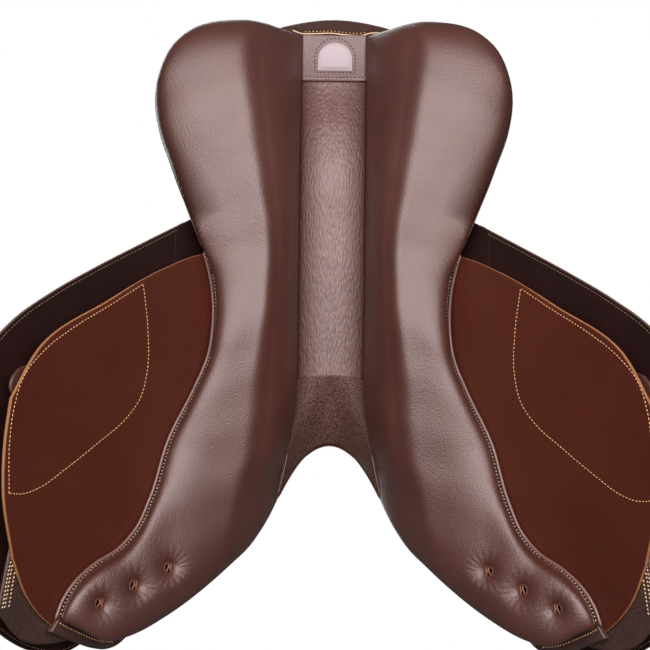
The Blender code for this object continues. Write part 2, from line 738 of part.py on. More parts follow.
def panel_grids(rows, columns):
    # The panel's top and its flocked underside: a superellipse swept from the front rim to the lobe.
    u = spread(rows, 0.8)
    v = spread(columns, 0.6)
    stations = [PANEL_FRONT[0][1], -0.125, -0.100, -0.075, -0.050, 0.0, 0.15, PANEL_REAR_Y]
    inner = [(gullet_half_width(station), station) for station in stations]
    seam = in_plan(SEAM)
    outer = np.concatenate([seam, LOBE_SIDE])
    front = [inner[0], *PANEL_FRONT[1:], tuple(seam[0])]
    rear = [inner[-1], *LOBE_REAR, LOBE_SIDE[-1]]
    plan = four_sided_grid(inner, outer, front, rear, u, v)
    x, y = plan[..., 0], plan[..., 1]
    top = lifted(plan, frame_height(x, y) - PANEL_GAP)
    from_crest = 2 * v**PANEL_CREST_SKEW - 1
    roundness = np.where(from_crest < 0, PANEL_INNER_ROUNDNESS, PANEL_OUTER_ROUNDNESS)
    bulge = ((1 - np.abs(from_crest) ** roundness) ** (1 / roundness))[None, :]
    end_power = np.where(u < 0.5, PANEL_FRONT_BLUNTNESS, PANEL_REAR_BLUNTNESS)
    ends = (1 - np.abs(2 * u - 1) ** end_power) ** (1 / end_power)
    seated = ease(y, -0.020, 0.080)
    depth = (1 - seated) * PANEL_DEPTH + seated * (frame_height(x, y) - STACK_GAP - PANEL_RIM)
    slope_share = 1 - (1 - REAR_SLOPE_SHARE) * ease(y, FLATTEN_FROM_Y, FLATTEN_TO_Y)
    radius = np.where(x < FLAP_TOP_X, INNER_RADIUS, 1 / FLAP_CURL)
    angle = np.arcsin(math.sin(FLAP_TOP_SLOPE) + (x - FLAP_TOP_X) / radius) * slope_share
    angle = angle * PANEL_TILT_SHARE * ease(v, -0.05, 0.5)[None, :]
    ahead = 1 - ease(y, PANEL_LEAN_FROM_Y, PANEL_LEAN_TO_Y)
    forward = PANEL_FORWARD_LEAN * ahead * (1 - ease(v, 0.80, 1.0))[None, :]
    reach = PANEL_RIM + depth * bulge * ends[:, None]
    direction = np.stack([-np.sin(angle), -forward, -np.cos(angle)], -1)
    return top, top + direction * reach[..., None]


def make_panels():
    top, under = panel_grids(25, 11)
    for side, word in ((1, "left"), (-1, "right")):
        closed_sheet("panel_" + word, "panel leather", mirrored(top, side), mirrored(under, side), 50.0)


def flap_sheet(name, finish, grid, side, near, far, place=None):
    # A sheet between two offsets over a grid of (distance down, y).
    put = place or on_flap
    low = put(grid[..., 0], grid[..., 1], near)
    high = put(grid[..., 0], grid[..., 1], far)
    return closed_sheet(name, finish, mirrored(low, side), mirrored(high, side))


def make_sweat_flaps():
    front_top = SWEAT_FLAP_FRONT[0]
    front = SWEAT_FLAP_FRONT[:-1] + SWEAT_FLAP_FRONT_LOW
    top = [front_top, (-0.010, -0.060), SWEAT_FLAP_REAR[0]]
    low = SWEAT_FLAP_LOW[::-1]
    grid = four_sided_grid(front, SWEAT_FLAP_REAR, top, low, spread(13), spread(11))
    for side, word in ((1, "left"), (-1, "right")):
        flap_sheet("sweat_flap_" + word, "flap leather", grid, side, 0.0, SWEAT_FLAP_THICKNESS)


def arch_edge(x):
    # The head lining's front edge, an arch in a plane that leans back.
    z = ARCH_APEX_Z - ARCH_CURVE * x**2
    return np.stack([x, ARCH_APEX_Y - ARCH_LEAN * (ARCH_APEX_Z - z), z], -1)


def make_linings():
    half = GULLET_HALF_WIDTH - GAP
    x = np.linspace(-half, half, 7)
    y = np.linspace(LINING_SEAM_Y + GAP, PANEL_REAR_Y - LINING_REAR_INSET, 23)
    plan = np.stack(np.meshgrid(x, y, indexing="ij"), -1)
    under = frame_height(plan[..., 0], plan[..., 1]) - LINING_DROP
    closed_sheet(
        "gullet_lining", "lining leather", lifted(plan, under), lifted(plan, under + LINING_THICKNESS)
    )
    across = np.linspace(-1.0, 1.0, 17)
    front = arch_edge(across * ARCH_FOOT_X)
    along = np.linspace(0.0, 1.0, 10)[:, None]
    rear_y = LINING_SEAM_Y - LINING_SEAM_BOW * across**2
    y = rear_y * (1 - along) + front[:, 1] * along
    room = np.minimum(gullet_half_width(y[:, -1:]) - HEAD_LINING_GAP, ARCH_FOOT_X)
    x = across * (half * (1 - along**4) + ARCH_FOOT_X * along**4)
    x = across * np.minimum(np.abs(x[:, -1:]), room)
    rear_z = frame_height(x, LINING_SEAM_Y) - LINING_DROP
    front_z = ARCH_APEX_Z - ARCH_CURVE * x**2
    low = np.stack([x, y, rear_z * (1 - along) + front_z * along], -1)
    thick = np.array([0.0, 0.0, LINING_THICKNESS])
    closed_sheet("head_lining", "lining leather", low, low + thick)


def make_tab_and_badge():
    half = GULLET_HALF_WIDTH - GAP
    x = np.linspace(-half, half, 7)
    y = np.linspace(TAB_FRONT_Y, PANEL_REAR_Y - LINING_REAR_INSET / 2, 7)
    plan = np.stack(np.meshgrid(x, y, indexing="ij"), -1)
    tab_top = frame_height(plan[..., 0], plan[..., 1]) - LINING_DROP - GAP
    tab_low = lifted(plan, tab_top - TAB_THICKNESS)
    closed_sheet("gullet_tab", "lining leather", tab_low, lifted(plan, tab_top))
    # The badge plate is an arch-topped plate, its round end towards the cantle's rim.
    straight = BADGE_LENGTH - BADGE_WIDTH / 2
    front_y = BADGE_MIDDLE_Y - BADGE_LENGTH / 2
    angles = np.linspace(0.0, math.pi, 17)
    outline = [(-BADGE_WIDTH / 2, front_y), (BADGE_WIDTH / 2, front_y)]
    outline += [
        (BADGE_WIDTH / 2 * math.cos(a), front_y + straight + BADGE_WIDTH / 2 * math.sin(a)) for a in angles
    ]
    points = np.array(outline)
    ground = frame_height(points[:, 0] * 0.0, points[:, 1]) - LINING_DROP - 2 * GAP - TAB_THICKNESS
    ground = ground - GULLET_CROWN * (points[:, 0] / GULLET_HALF_WIDTH) ** 2 - BADGE_SEAT
    count = len(points)
    high = lifted(points, ground)
    low = lifted(points, ground - BADGE_THICKNESS)
    faces = [list(range(count)), [count + i for i in range(count - 1, -1, -1)]]
    for i in range(count):
        j = (i + 1) % count
        faces.append([i, j, count + j, count + i])
    badge = add_object("badge_plate", "badge plate", np.concatenate([high, low]), faces)
    flatten = bmesh.new()
    flatten.from_mesh(badge.data)
    bmesh.ops.triangulate(flatten, faces=flatten.faces)
    flatten.to_mesh(badge.data)
    flatten.free()


def make_front_facings():
    grid = open_grid(FACING_INNER, FACING_OUTER, 9, 3)
    for side, word in ((1, "left"), (-1, "right")):
        flap_sheet(
            "front_facing_" + word, "panel leather", grid, side, -STACK_GAP - FACING_THICKNESS, -STACK_GAP
        )


def padded_block(name, grid, side, near, rim, height, place=None):
    # A block with a flat back and a crowned face. The height is given at the block's top and low end.
    put = place or on_flap
    rows, columns = grid.shape[:2]
    u = np.linspace(-1.0, 1.0, rows)[:, None]
    v = np.linspace(-1.0, 1.0, columns)[None, :]
    crown = np.sqrt((1 - np.abs(u) ** 3) * (1 - np.abs(v) ** 2.5))
    share = (u + 1) / 2
    far = near + rim + crown * (height[0] * (1 - share) + height[1] * share)
    low = put(grid[..., 0], grid[..., 1], near)
    high = put(grid[..., 0], grid[..., 1], far)
    return closed_sheet(name, "block leather", mirrored(low, side), mirrored(high, side), 60.0)


def make_blocks():
    patch_head = [PATCH_INNER[0], PATCH_REAR[0]]
    patch = four_sided_grid(PATCH_INNER, PATCH_REAR, patch_head, PATCH_FOOT, spread(13), spread(5))
    thigh = open_grid(THIGH_FRONT, THIGH_REAR, 9, 7)
    knee = open_grid(KNEE_FRONT, KNEE_REAR, 13, 9)
    seat = SWEAT_FLAP_THICKNESS + STACK_GAP
    for side, word in ((1, "left"), (-1, "right")):
        flap_sheet("loop_patch_" + word, "hook and loop", patch, side, seat, seat + PATCH_THICKNESS)
        patch_top = seat + PATCH_THICKNESS + STACK_GAP
        padded_block("thigh_block_" + word, thigh, side, patch_top, BLOCK_RIM, THIGH_CROWN)
        padded_block("knee_block_" + word, knee, side, seat, BLOCK_RIM, KNEE_CROWN)


def make_outer_flaps():
    half = FLAP_THICKNESS / 2
    hinge_line = [FLAP_FRONT[0], FLAP_REAR[0]]
    flap = four_sided_grid(FLAP_FRONT, FLAP_REAR, hinge_line, FLAP_LOW, spread(15), spread(11))
    root = open_grid(ROOT_TOP, ROOT_LOW, 29, 5)
    pad = open_grid(KNEE_PAD_FRONT, KNEE_PAD_REAR, 11, 7)
    keeper_rear_y = KEEPER_FRONT_Y + KEEPER_LENGTH
    keeper_foot = KEEPER_T + KEEPER_WIDTH
    keeper = open_grid(
        [(KEEPER_T, KEEPER_FRONT_Y), (KEEPER_T, keeper_rear_y)],
        [(keeper_foot, KEEPER_FRONT_Y), (keeper_foot, keeper_rear_y)],
        KEEPER_ROWS,
        3,
    )
    bow = np.sin(spread(KEEPER_ROWS) * math.pi)
    hump = ease(bow, *KEEPER_BOW_SHARES)[:, None] * KEEPER_RISE
    for side, word in ((1, "left"), (-1, "right")):
        moving = flap_sheet("flap_" + word, "dark flap leather", flap, side, -half, half, on_outer_flap)
        set_origin(moving, mirrored(HINGE_AXIS, side))
        flap_sheet(
            "flap_root_" + word, "dark flap leather", root, side, HINGE_OFFSET - half, HINGE_OFFSET + half
        )
        padded_block(
            "knee_pad_" + word, pad, side, half + GAP, KNEE_PAD_RIM, KNEE_PAD_CROWN, on_outer_flap
        )
        strap_low = half + GAP + hump
        strap_high = strap_low + KEEPER_THICKNESS
        flap_sheet(
            "leather_keeper_" + word, "strap leather", keeper, side, strap_low, strap_high, on_outer_flap
        )


def make_skirts():
    grid = four_sided_grid(SKIRT_FRONT, SKIRT_REAR, SKIRT_TOP, SKIRT_LOW, spread(7), spread(13))
    for side, word in ((1, "left"), (-1, "right")):
        skirt = flap_sheet("skirt_" + word, "seat leather", grid, side, 0.0, SKIRT_THICKNESS, on_skirt)
        set_origin(skirt, (side * SKIRT_TOP_X, 0.0, SKIRT_TOP_Z))


def slanted_strip(s, y_low, y_high, columns):
    rows = []
    for distance in s:
        shift = -BILLET_SLANT * distance
        rows.append([(distance, y + shift) for y in np.linspace(y_low, y_high, columns)])
    return np.array(rows)


def sleeve(name, finish, grid, side, near, far, wall):
    # A flat sleeve round the straps, its long sides lying across them.
    edge = np.stack([grid[:, 0], grid[:, -1]], 1)
    inward = np.array([[0.0, wall], [0.0, -wall]])
    rows = []
    for shrink, low, high in ((0.0, near, far), (1.0, near + wall, far - wall)):
        ends = edge + shrink * inward
        loop = [(0, low), (1, low), (1, high), (0, high)]
        rows.append(np.stack([on_flap(ends[:, i, 0], ends[:, i, 1], offset) for i, offset in loop], 1))
    points = np.concatenate([rows[0].reshape(-1, 3), rows[1].reshape(-1, 3)])
    count = len(grid)
    shift = 4 * count
    faces = []
    for i in range(4):
        j = (i + 1) % 4
        for row in range(count - 1):
            a, b = 4 * row, 4 * row + 4
            faces.append([a + i, a + j, b + j, b + i])
            faces.append([shift + b + i, shift + b + j, shift + a + j, shift + a + i])
        for end in (0, 4 * count - 4):
            faces.append([end + i, shift + end + i, shift + end + j, end + j])
    return add_object(name, finish, mirrored(points, side), faces, 30.0)


def make_girth_straps():
    s = np.linspace(BILLET_TOP_S, BILLET_TOP_S + BILLET_LENGTH, 14)
    pivot = on_flap(BILLET_TOP_S, BILLET_MIDDLE_Y, BILLET_OFFSET + BILLET_THICKNESS / 2)
    guard_s = np.linspace(GUARD_TOP_S, GUARD_TOP_S + GUARD_LENGTH, 6)
    guard_half = BILLET_PITCH + BILLET_WIDTH / 2 + GUARD_MARGIN
    guard_near = BILLET_OFFSET + BILLET_RISE - GAP - GUARD_THICKNESS
    guard_far = BILLET_OFFSET + BILLET_RISE + BILLET_THICKNESS + GAP + GUARD_THICKNESS
    guard = slanted_strip(guard_s, BILLET_MIDDLE_Y - guard_half, BILLET_MIDDLE_Y + guard_half, 2)
    for side, word in ((1, "left"), (-1, "right")):
        for step, place in ((-1, "front"), (0, "middle"), (1, "rear")):
            middle = BILLET_MIDDLE_Y + step * BILLET_PITCH
            strip = slanted_strip(s, middle - BILLET_WIDTH / 2, middle + BILLET_WIDTH / 2, 3)
            near = BILLET_OFFSET + BILLET_RISE * ease(strip[..., 0], BILLET_RISE_S, GUARD_TOP_S - 0.010)
            name = "girth_strap_" + place + "_" + word
            strap = flap_sheet(name, "strap leather", strip, side, near, near + BILLET_THICKNESS)
            set_origin(strap, mirrored(pivot, side))
        sleeve("buckle_guard_" + word, "strap leather", guard, side, guard_near, guard_far, GUARD_THICKNESS)


def extruded(outline, origin, across, up, along, start, end):
    # A flat outline in the directions across and up, drawn out along the third.
    plane = np.array([np.array(across) * a + np.array(up) * b for a, b in outline]) + np.array(origin)
    count = len(plane)
    points = np.concatenate([plane + np.array(along) * start, plane + np.array(along) * end])
    faces = [list(range(count)), [count + i for i in range(count)]]
    faces += [[i, (i + 1) % count, count + (i + 1) % count, count + i] for i in range(count)]
    return points, faces


def disc(radius, sides):
    turns = np.linspace(0.0, 2 * math.pi, sides + 1)[:-1]
    return [(radius * math.cos(a), radius * math.sin(a)) for a in turns]


def combine(target, other, operation):
    step = target.modifiers.new(operation.lower(), "BOOLEAN")
    step.operation = operation
    step.solver = "EXACT"
    step.object = other
    other.hide_render = True
    other.display_type = "WIRE"


def make_stirrup_bars():
    tree_low = float(tree_underside(TREE_HALF_WIDTH, BAR_FRONT_Y))
    plate_x = TREE_HALF_WIDTH + GAP
    angle = float(flap_angle((BAR_TOP_S + BAR_LOW_S) / 2))
    heart = on_flap((BAR_TOP_S + BAR_LOW_S) / 2, BAR_REAR_Y, BAR_OFFSET + BAR_THICKNESS / 2)
    half = BAR_THICKNESS / 2
    reach = (BAR_LOW_S - BAR_TOP_S) / 2
    knuckle = BAR_KNUCKLE_WIDTH / 2
    for side, word in ((1, "left"), (-1, "right")):
        down = np.array([side * math.cos(angle), 0.0, -math.sin(angle)])
        out = np.array([side * math.sin(angle), 0.0, math.cos(angle)])
        rear = np.array([0.0, 1.0, 0.0])
        centre = mirrored(heart, side)
        sideways = np.array([side, 0.0, 0.0])
        upwards = np.array([0.0, 0.0, 1.0])

        def piece(name, outline, origin, axes, start, end):
            points, faces = extruded(outline, origin, axes[0], axes[1], axes[2], start, end)
            return add_object(name + " " + word, "steel", points, faces, 30.0)

        plate_outline = [(0.0, 0.0), (BAR_PLATE_THICKNESS, 0.0)]
        plate_outline += [(BAR_PLATE_THICKNESS, TREE_THICKNESS), (0.0, TREE_THICKNESS)]
        plate_foot = np.array([side * plate_x, 0.0, tree_low])
        bar = piece(
            "bar plate", plate_outline, plate_foot, (sideways, upwards, rear), BAR_FRONT_Y, BAR_PLATE_REAR_Y
        )
        bar.name = "stirrup_bar_" + word
        blade_outline = [(-reach, -half), (reach, -half), (reach, half), (-reach, half)]
        blade = piece("blade", blade_outline, centre, (down, out, rear), BAR_FRONT_Y - BAR_REAR_Y, 0.0)
        lug_reach = side * centre[0] - plate_x + BAR_LUG_BITE
        lug_top = centre[2] - tree_low
        lug_outline = [(BAR_PLATE_THICKNESS / 2, BAR_LUG_LOW), (lug_reach, lug_top - half)]
        lug_outline += [(lug_reach, lug_top), (BAR_PLATE_THICKNESS / 2, BAR_LUG_LOW + 2 * half)]
        lug_front = BAR_FRONT_Y + BAR_LUG_SETBACK
        lug = piece(
            "lug", lug_outline, plate_foot, (sideways, upwards, rear), lug_front, lug_front + BAR_LUG_WIDTH
        )
        axes = (rear, out, down)
        eye_reach = reach - GAP / 2
        eye_disc = disc(half * EYE_SHARE, PIN_SIDES)
        bore_disc = disc(BAR_PIN_RADIUS + BAR_PIN_GAP, PIN_SIDES)
        eye = piece("eye", eye_disc, centre, axes, -eye_reach, eye_reach)
        room_low = -half - TURNING_GAP
        room_outline = [(room_low, -2 * half), (2 * half, -2 * half)]
        room_outline += [(2 * half, 2 * half), (room_low, 2 * half)]
        room = piece("room", room_outline, centre, axes, -knuckle - GAP, knuckle + GAP)
        bore = piece("bore", bore_disc, centre, axes, -2 * reach, 2 * reach)
        for other, operation in (
            (blade, "UNION"),
            (lug, "UNION"),
            (eye, "UNION"),
            (room, "DIFFERENCE"),
            (bore, "DIFFERENCE"),
        ):
            combine(bar, other, operation)

        catch = piece("catch eye", eye_disc, centre, axes, -knuckle, knuckle)
        catch.name = "bar_catch_" + word
        neck_outline = [(0.0, -half / 2), (CATCH_NECK, -half / 2), (CATCH_NECK, half / 2), (0.0, half / 2)]
        neck = piece("catch neck", neck_outline, centre, axes, -knuckle + GAP, knuckle - GAP)
        leaf_start = half + TURNING_GAP
        leaf_outline = [(leaf_start, -half * 0.8), (CATCH_LENGTH, -half * 0.6)]
        leaf_outline += [(CATCH_LENGTH, half * 0.6), (leaf_start, half * 0.8)]
        leaf = piece("catch leaf", leaf_outline, centre, axes, -reach + GAP, reach - GAP)
        bore_again = piece("catch bore", bore_disc, centre, axes, -2 * reach, 2 * reach)
        combine(catch, neck, "UNION")
        combine(catch, leaf, "UNION")
        combine(catch, bore_again, "DIFFERENCE")
        set_origin(catch, centre)
        pin = piece("pin", disc(BAR_PIN_RADIUS, PIN_SIDES), centre, axes, -reach, reach)
        pin.name = "catch_pin_" + word


def tube(centres, normal, radius, sides):
    # A round wire along a closed flat path.
    ahead = np.roll(centres, -1, axis=0) - np.roll(centres, 1, axis=0)
    ahead = ahead / np.linalg.norm(ahead, axis=1)[:, None]
    outward = np.cross(ahead, normal)
    turns = np.linspace(0.0, 2 * math.pi, sides + 1)[:-1]
    rows = centres[:, None] + radius * (
        outward[:, None] * np.cos(turns)[None, :, None] + np.array(normal) * np.sin(turns)[None, :, None]
    )
    faces = []
    count = len(centres)
    for i in range(count):
        for j in range(sides):
            k = (j + 1) % sides
            n = (i + 1) % count
            faces.append([i * sides + j, i * sides + k, n * sides + k, n * sides + j])
    return rows.reshape(-1, 3), faces


def make_dees():
    for side, word in ((1, "left"), (-1, "right")):
        centre = np.array([side * DEE_X, DEE_Y, DEE_Z])
        # The ring is a D, its straight bar through the chape's fold.
        turns = np.linspace(math.pi, 2 * math.pi, 15)
        curve = np.stack([RING_RADIUS * np.cos(turns), 0 * turns, RING_DROP * np.sin(turns)], 1)
        straight = np.linspace(RING_RADIUS, -RING_RADIUS, 6)[1:-1]
        bar = np.stack([straight, 0 * straight, 0 * straight], 1)
        path = np.concatenate([curve, bar]) + centre
        points, faces = tube(path, np.array([0.0, 1.0, 0.0]), RING_WIRE, 8)
        ring = add_object("dee_ring_" + word, "steel", points, faces, 60.0)
        set_origin(ring, centre)
        # The chape is a leather strip folded round the ring's bar, its two ends up the pommel facing.
        fold = RING_WIRE + RING_GAP + CHAPE_THICKNESS / 2
        turns = np.linspace(math.pi * 1.06, math.pi * 1.94, 9)
        front_y = -fold
        path = [(front_y * 0.55, CHAPE_RISE), (front_y * 0.95, CHAPE_RISE * 0.35)]
        path += [(fold * math.cos(a), fold * math.sin(a)) for a in turns]
        path += [(fold * 0.95, CHAPE_RISE * 0.35), (fold * 0.55, CHAPE_RISE)]
        line = np.array(path)
        ahead = np.gradient(line, axis=0)
        ahead = ahead / np.linalg.norm(ahead, axis=1)[:, None]
        away = np.stack([ahead[:, 1], -ahead[:, 0]], 1) * CHAPE_THICKNESS / 2
        low, high = [], []
        for x in np.linspace(-CHAPE_WIDTH / 2, CHAPE_WIDTH / 2, 3):
            for rows, edge in ((low, line - away), (high, line + away)):
                rows.append([(centre[0] + x, centre[1] + a, centre[2] + b) for a, b in edge])
        closed_sheet("dee_chape_" + word, "strap leather", np.array(low), np.array(high))


def make_gullet_arch():
    # Steel, under the tree's head, its points lying on the sweat flaps.
    thick = ARCH_PLATE_THICKNESS
    over = np.linspace(0.0, ARCH_TURN_X, 12)
    points_s = np.linspace(ARCH_TURN_S, ARCH_POINT_LENGTH, 9)
    low_rows, high_rows = [], []
    for share in (-0.5, -0.17, 0.17, 0.5):
        aside = share * ARCH_PLATE_WIDTH
        swept = (over / ARCH_TURN_X) ** ARCH_SWEEP_POWER
        y_over = ARCH_PLATE_Y + (ARCH_TURN_Y - ARCH_PLATE_Y) * swept + aside
        along = (points_s - ARCH_TURN_S) / (ARCH_POINT_LENGTH - ARCH_TURN_S)
        y_down = ARCH_TURN_Y + (ARCH_POINT_Y - ARCH_TURN_Y) * along + aside * (1 - ARCH_TAPER * along)
        roof = tree_underside(over, y_over) - ARCH_TOP_GAP
        seat = SWEAT_FLAP_THICKNESS + STACK_GAP
        on_leather = ease(points_s, ARCH_TURN_S, SWEAT_FLAP_FRONT[0][0] - 0.002)
        lift = ARCH_TURN_LIFT + (seat - ARCH_TURN_LIFT) * on_leather
        low = [*zip(over, y_over, roof - thick), *on_flap(points_s, y_down, lift)]
        high = [*zip(over, y_over, roof), *on_flap(points_s, y_down, lift + thick)]
        for points, rows in ((low, low_rows), (high, high_rows)):
            half = np.array([tuple(point) for point in points])
            rows.append(np.concatenate([half[:0:-1] * np.array([-1.0, 1.0, 1.0]), half]))
    closed_sheet("gullet_arch", "steel", np.array(low_rows), np.array(high_rows))


def make_pommel_facing():
    across = np.linspace(-1.0, 1.0, SEAT_COLUMNS)
    foot = arch_edge(across * FACE_FOOT_X) - np.array([0.0, FACE_GAP, 0.0])
    rim = seat_grid(COVER_OVERHANG, SEAT_ROWS, SEAT_COLUMNS)[0]
    edge = tree_top(rim[:, 0], rim[:, 1]) + FOAM_LIFT + FOAM_EDGE + STACK_GAP
    head = lifted(rim, edge + COVER_THICKNESS / 2) - np.array([0.0, GAP, 0.0])
    shares = np.linspace(0.0, 1.0, 7)[:, None, None]
    forward = np.array([0.0, -1.0, 0.0])
    inner = foot * (1 - shares) + head * shares + forward * FACE_BULGE * np.sin(shares * math.pi)
    closed_sheet("pommel_facing", "seat leather", inner, inner + forward * COVER_THICKNESS)


def make_nails(cover):
    ring = np.linspace(0.0, 2 * math.pi, NAIL_SIDES + 1)[:-1]
    ring = np.stack([np.cos(ring), np.sin(ring)], 1) * NAIL_RADIUS
    x = TREE_HALF_WIDTH - NAIL_INSET
    for side, word in ((1, "left"), (-1, "right")):
        for y, place in ((NAIL_FRONT_Y, "front"), (NAIL_REAR_Y, "rear")):
            # The nail's flat base lies on the plane through the nearest points of the cover.
            flat = cover.reshape(-1, 3)
            near = flat[np.argsort(np.hypot(flat[:, 0] - x, flat[:, 1] - y))[:9]]
            ones = np.ones((len(near), 1))
            slope = np.linalg.lstsq(np.concatenate([near[:, :2], ones], 1), near[:, 2], rcond=None)[0]
            miss = near[:, 2] - np.concatenate([near[:, :2], ones], 1) @ slope
            rows = []
            for share, rise in NAIL_PROFILE:
                plan = np.array([x, y]) + ring * share
                height = np.concatenate([plan, np.ones((NAIL_SIDES, 1))], 1) @ slope
                rows.append(lifted(plan, height + miss.max() + NAIL_SEAT + rise))
            points = np.concatenate(rows)
            faces = [list(range(NAIL_SIDES))]
            last = len(points) - NAIL_SIDES
            faces.append([last + i for i in range(NAIL_SIDES)])
            for row in range(len(NAIL_PROFILE) - 1):
                for i in range(NAIL_SIDES):
                    j = (i + 1) % NAIL_SIDES
                    low = row * NAIL_SIDES
                    faces.append([low + i, low + j, low + NAIL_SIDES + j, low + NAIL_SIDES + i])
            name = "saddle_nail_" + place + "_" + word
            add_object(name, "steel", mirrored(points, side), faces, 50.0)


clear_scene()
make_tree()
make_tree_fittings()
make_girth_web("girth_web_front", BILLET_MIDDLE_Y - GIRTH_WEB_PITCH / 2)
make_girth_web("girth_web_rear", BILLET_MIDDLE_Y + GIRTH_WEB_PITCH / 2)
cover_surface = make_seat()
make_cantle_back()
make_panels()
make_sweat_flaps()
make_linings()
make_tab_and_badge()
make_front_facings()
make_blocks()
make_outer_flaps()
make_skirts()
make_girth_straps()
make_stirrup_bars()
make_gullet_arch()
make_pommel_facing()
make_nails(cover_surface)
make_dees()
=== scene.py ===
import math

import bpy
import numpy as np
from mathutils import Matrix, Vector


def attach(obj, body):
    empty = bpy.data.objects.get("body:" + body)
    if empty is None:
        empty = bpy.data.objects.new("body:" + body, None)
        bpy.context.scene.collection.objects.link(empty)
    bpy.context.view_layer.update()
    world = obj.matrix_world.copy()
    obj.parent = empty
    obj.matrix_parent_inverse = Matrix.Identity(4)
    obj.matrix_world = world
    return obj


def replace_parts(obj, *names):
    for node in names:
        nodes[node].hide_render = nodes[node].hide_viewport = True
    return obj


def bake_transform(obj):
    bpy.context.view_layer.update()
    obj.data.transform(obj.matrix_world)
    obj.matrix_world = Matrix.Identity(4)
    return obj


# Jumping saddle seen from below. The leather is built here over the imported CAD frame, from the same underframe surface.
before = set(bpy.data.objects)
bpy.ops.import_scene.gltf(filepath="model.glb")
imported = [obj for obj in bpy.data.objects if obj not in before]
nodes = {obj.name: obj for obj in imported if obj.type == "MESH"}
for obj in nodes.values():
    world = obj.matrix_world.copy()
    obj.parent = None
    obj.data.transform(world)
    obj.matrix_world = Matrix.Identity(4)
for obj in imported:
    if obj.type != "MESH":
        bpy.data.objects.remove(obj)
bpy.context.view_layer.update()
print("frame loaded:", len(nodes), "nodes")


under = {
    "gulletHalf": 0.033, "gulletHeight": 0.0695, "crown": 0.0033,
    "topX": 0.112, "topSlope": math.radians(40.0), "gulletSlope": math.radians(12.5),
    "curl": math.radians(16.0) / 0.240,  # radians per metre down the flap
    "lobeHalf": 0.174, "flattenY": (0.082, 0.170), "rearShare": 0.35,
    "rise": 0.036, "riseY": (0.130, 0.296),
}
innerRadius = (under["topX"] - under["gulletHalf"]) / (math.sin(under["topSlope"]) - math.sin(under["gulletSlope"]))
topZ = under["gulletHeight"] - innerRadius * (math.cos(under["gulletSlope"]) - math.cos(under["topSlope"]))


def ease(value, start, end):
    t = np.clip((np.asarray(value, float) - start) / (end - start), 0.0, 1.0)
    return t * t * (3 - 2 * t)


def sectionHeight(x):
    # height at x: a crowned gullet, then a circle arc, then the flap's slower arc
    x = np.abs(np.asarray(x, float))
    crown = under["gulletHeight"] + under["crown"] * (1 - (x / under["gulletHalf"]) ** 2)
    radius = np.where(x < under["topX"], innerRadius, 1 / under["curl"])
    lean = np.clip(math.sin(under["topSlope"]) + (x - under["topX"]) / radius, 0.0, 0.999)
    arcs = topZ + radius * (np.sqrt(1 - lean**2) - math.cos(under["topSlope"]))
    return np.where(x < under["gulletHalf"], crown, arcs)


def frameHeight(x, y):
    # the section's drop, flattened towards the cantle, plus a rise that fades sideways
    x = np.abs(np.asarray(x, float))
    share = 1 - (1 - under["rearShare"]) * ease(y, *under["flattenY"])
    rise = under["rise"] * ease(y, *under["riseY"])
    drop = under["gulletHeight"] - sectionHeight(x)
    side = 1 - (x / (under["lobeHalf"] + under["gulletHalf"])) ** 2
    return under["gulletHeight"] - share * drop + rise * side


def onFlap(s, y, offset):
    # a point s down the flap's arc, y along it, offset outwards from the sweat flap's inner face
    s = np.asarray(s, float)
    angle = under["topSlope"] + s * np.where(s < 0, 1 / innerRadius, under["curl"])
    radius = np.where(s < 0, innerRadius, 1 / under["curl"])
    x = under["topX"] + radius * (np.sin(angle) - math.sin(under["topSlope"]))
    z = topZ + radius * (np.cos(angle) - math.cos(under["topSlope"]))
    y = np.broadcast_to(np.asarray(y, float), x.shape)
    return np.stack([x + offset * np.sin(angle), y, z + offset * np.cos(angle)], -1)


hinge = {"s": 0.035, "offset": 0.0125, "slope": (39.5, 53.0), "length": 0.256}
hingePoint = onFlap(hinge["s"], 0.0, hinge["offset"])
skirtTop = {"x": 0.0918, "z": 0.0800, "slope": (22.0, 54.0), "length": 0.071}


def onArc(startX, startZ, slopes, length, t, y, offset):
    # the same for a sheet with an arc of its own
    low, high = (math.radians(v) for v in slopes)
    t = np.asarray(t, float)
    curl = (high - low) / length
    angle = low + curl * t
    x = startX + (np.sin(angle) - math.sin(low)) / curl
    z = startZ + (np.cos(angle) - math.cos(low)) / curl
    y = np.broadcast_to(np.asarray(y, float), x.shape)
    return np.stack([x + offset * np.sin(angle), y, z + offset * np.cos(angle)], -1)


def onOuterFlap(t, y, offset):
    return onArc(hingePoint[0], hingePoint[2], hinge["slope"], hinge["length"], t, y, offset)


def onSkirt(t, y, offset):
    return onArc(skirtTop["x"], skirtTop["z"], skirtTop["slope"], skirtTop["length"], t, y, offset)


def unit(vectors):
    return vectors / np.linalg.norm(vectors, axis=1)[:, None]


def lengthAlong(points):
    return np.concatenate([[0.0], np.cumsum(np.linalg.norm(np.diff(points, axis=0), axis=1))])


def smoothCurve(points, shares):
    # a Hermite curve through the points, read at shares of its length
    pts = np.array(points, float)
    if len(pts) == 2:
        return pts[0] + (pts[1] - pts[0]) * np.asarray(shares)[:, None]
    knots = lengthAlong(pts)
    slopes = np.gradient(pts, knots, axis=0)
    dense = np.linspace(0.0, knots[-1], 60 * len(pts))
    span = np.clip(np.searchsorted(knots, dense, side="right") - 1, 0, len(pts) - 2)
    width = (knots[span + 1] - knots[span])[:, None]
    t = ((dense - knots[span]) / width[:, 0])[:, None]
    curve = (2 * t**3 - 3 * t**2 + 1) * pts[span] + (t**3 - 2 * t**2 + t) * width * slopes[span]
    curve += (3 * t**2 - 2 * t**3) * pts[span + 1] + (t**3 - t**2) * width * slopes[span + 1]
    along = lengthAlong(curve)
    wanted = np.asarray(shares) * along[-1]
    return np.stack([np.interp(wanted, along, curve[:, i]) for i in range(pts.shape[1])], 1)


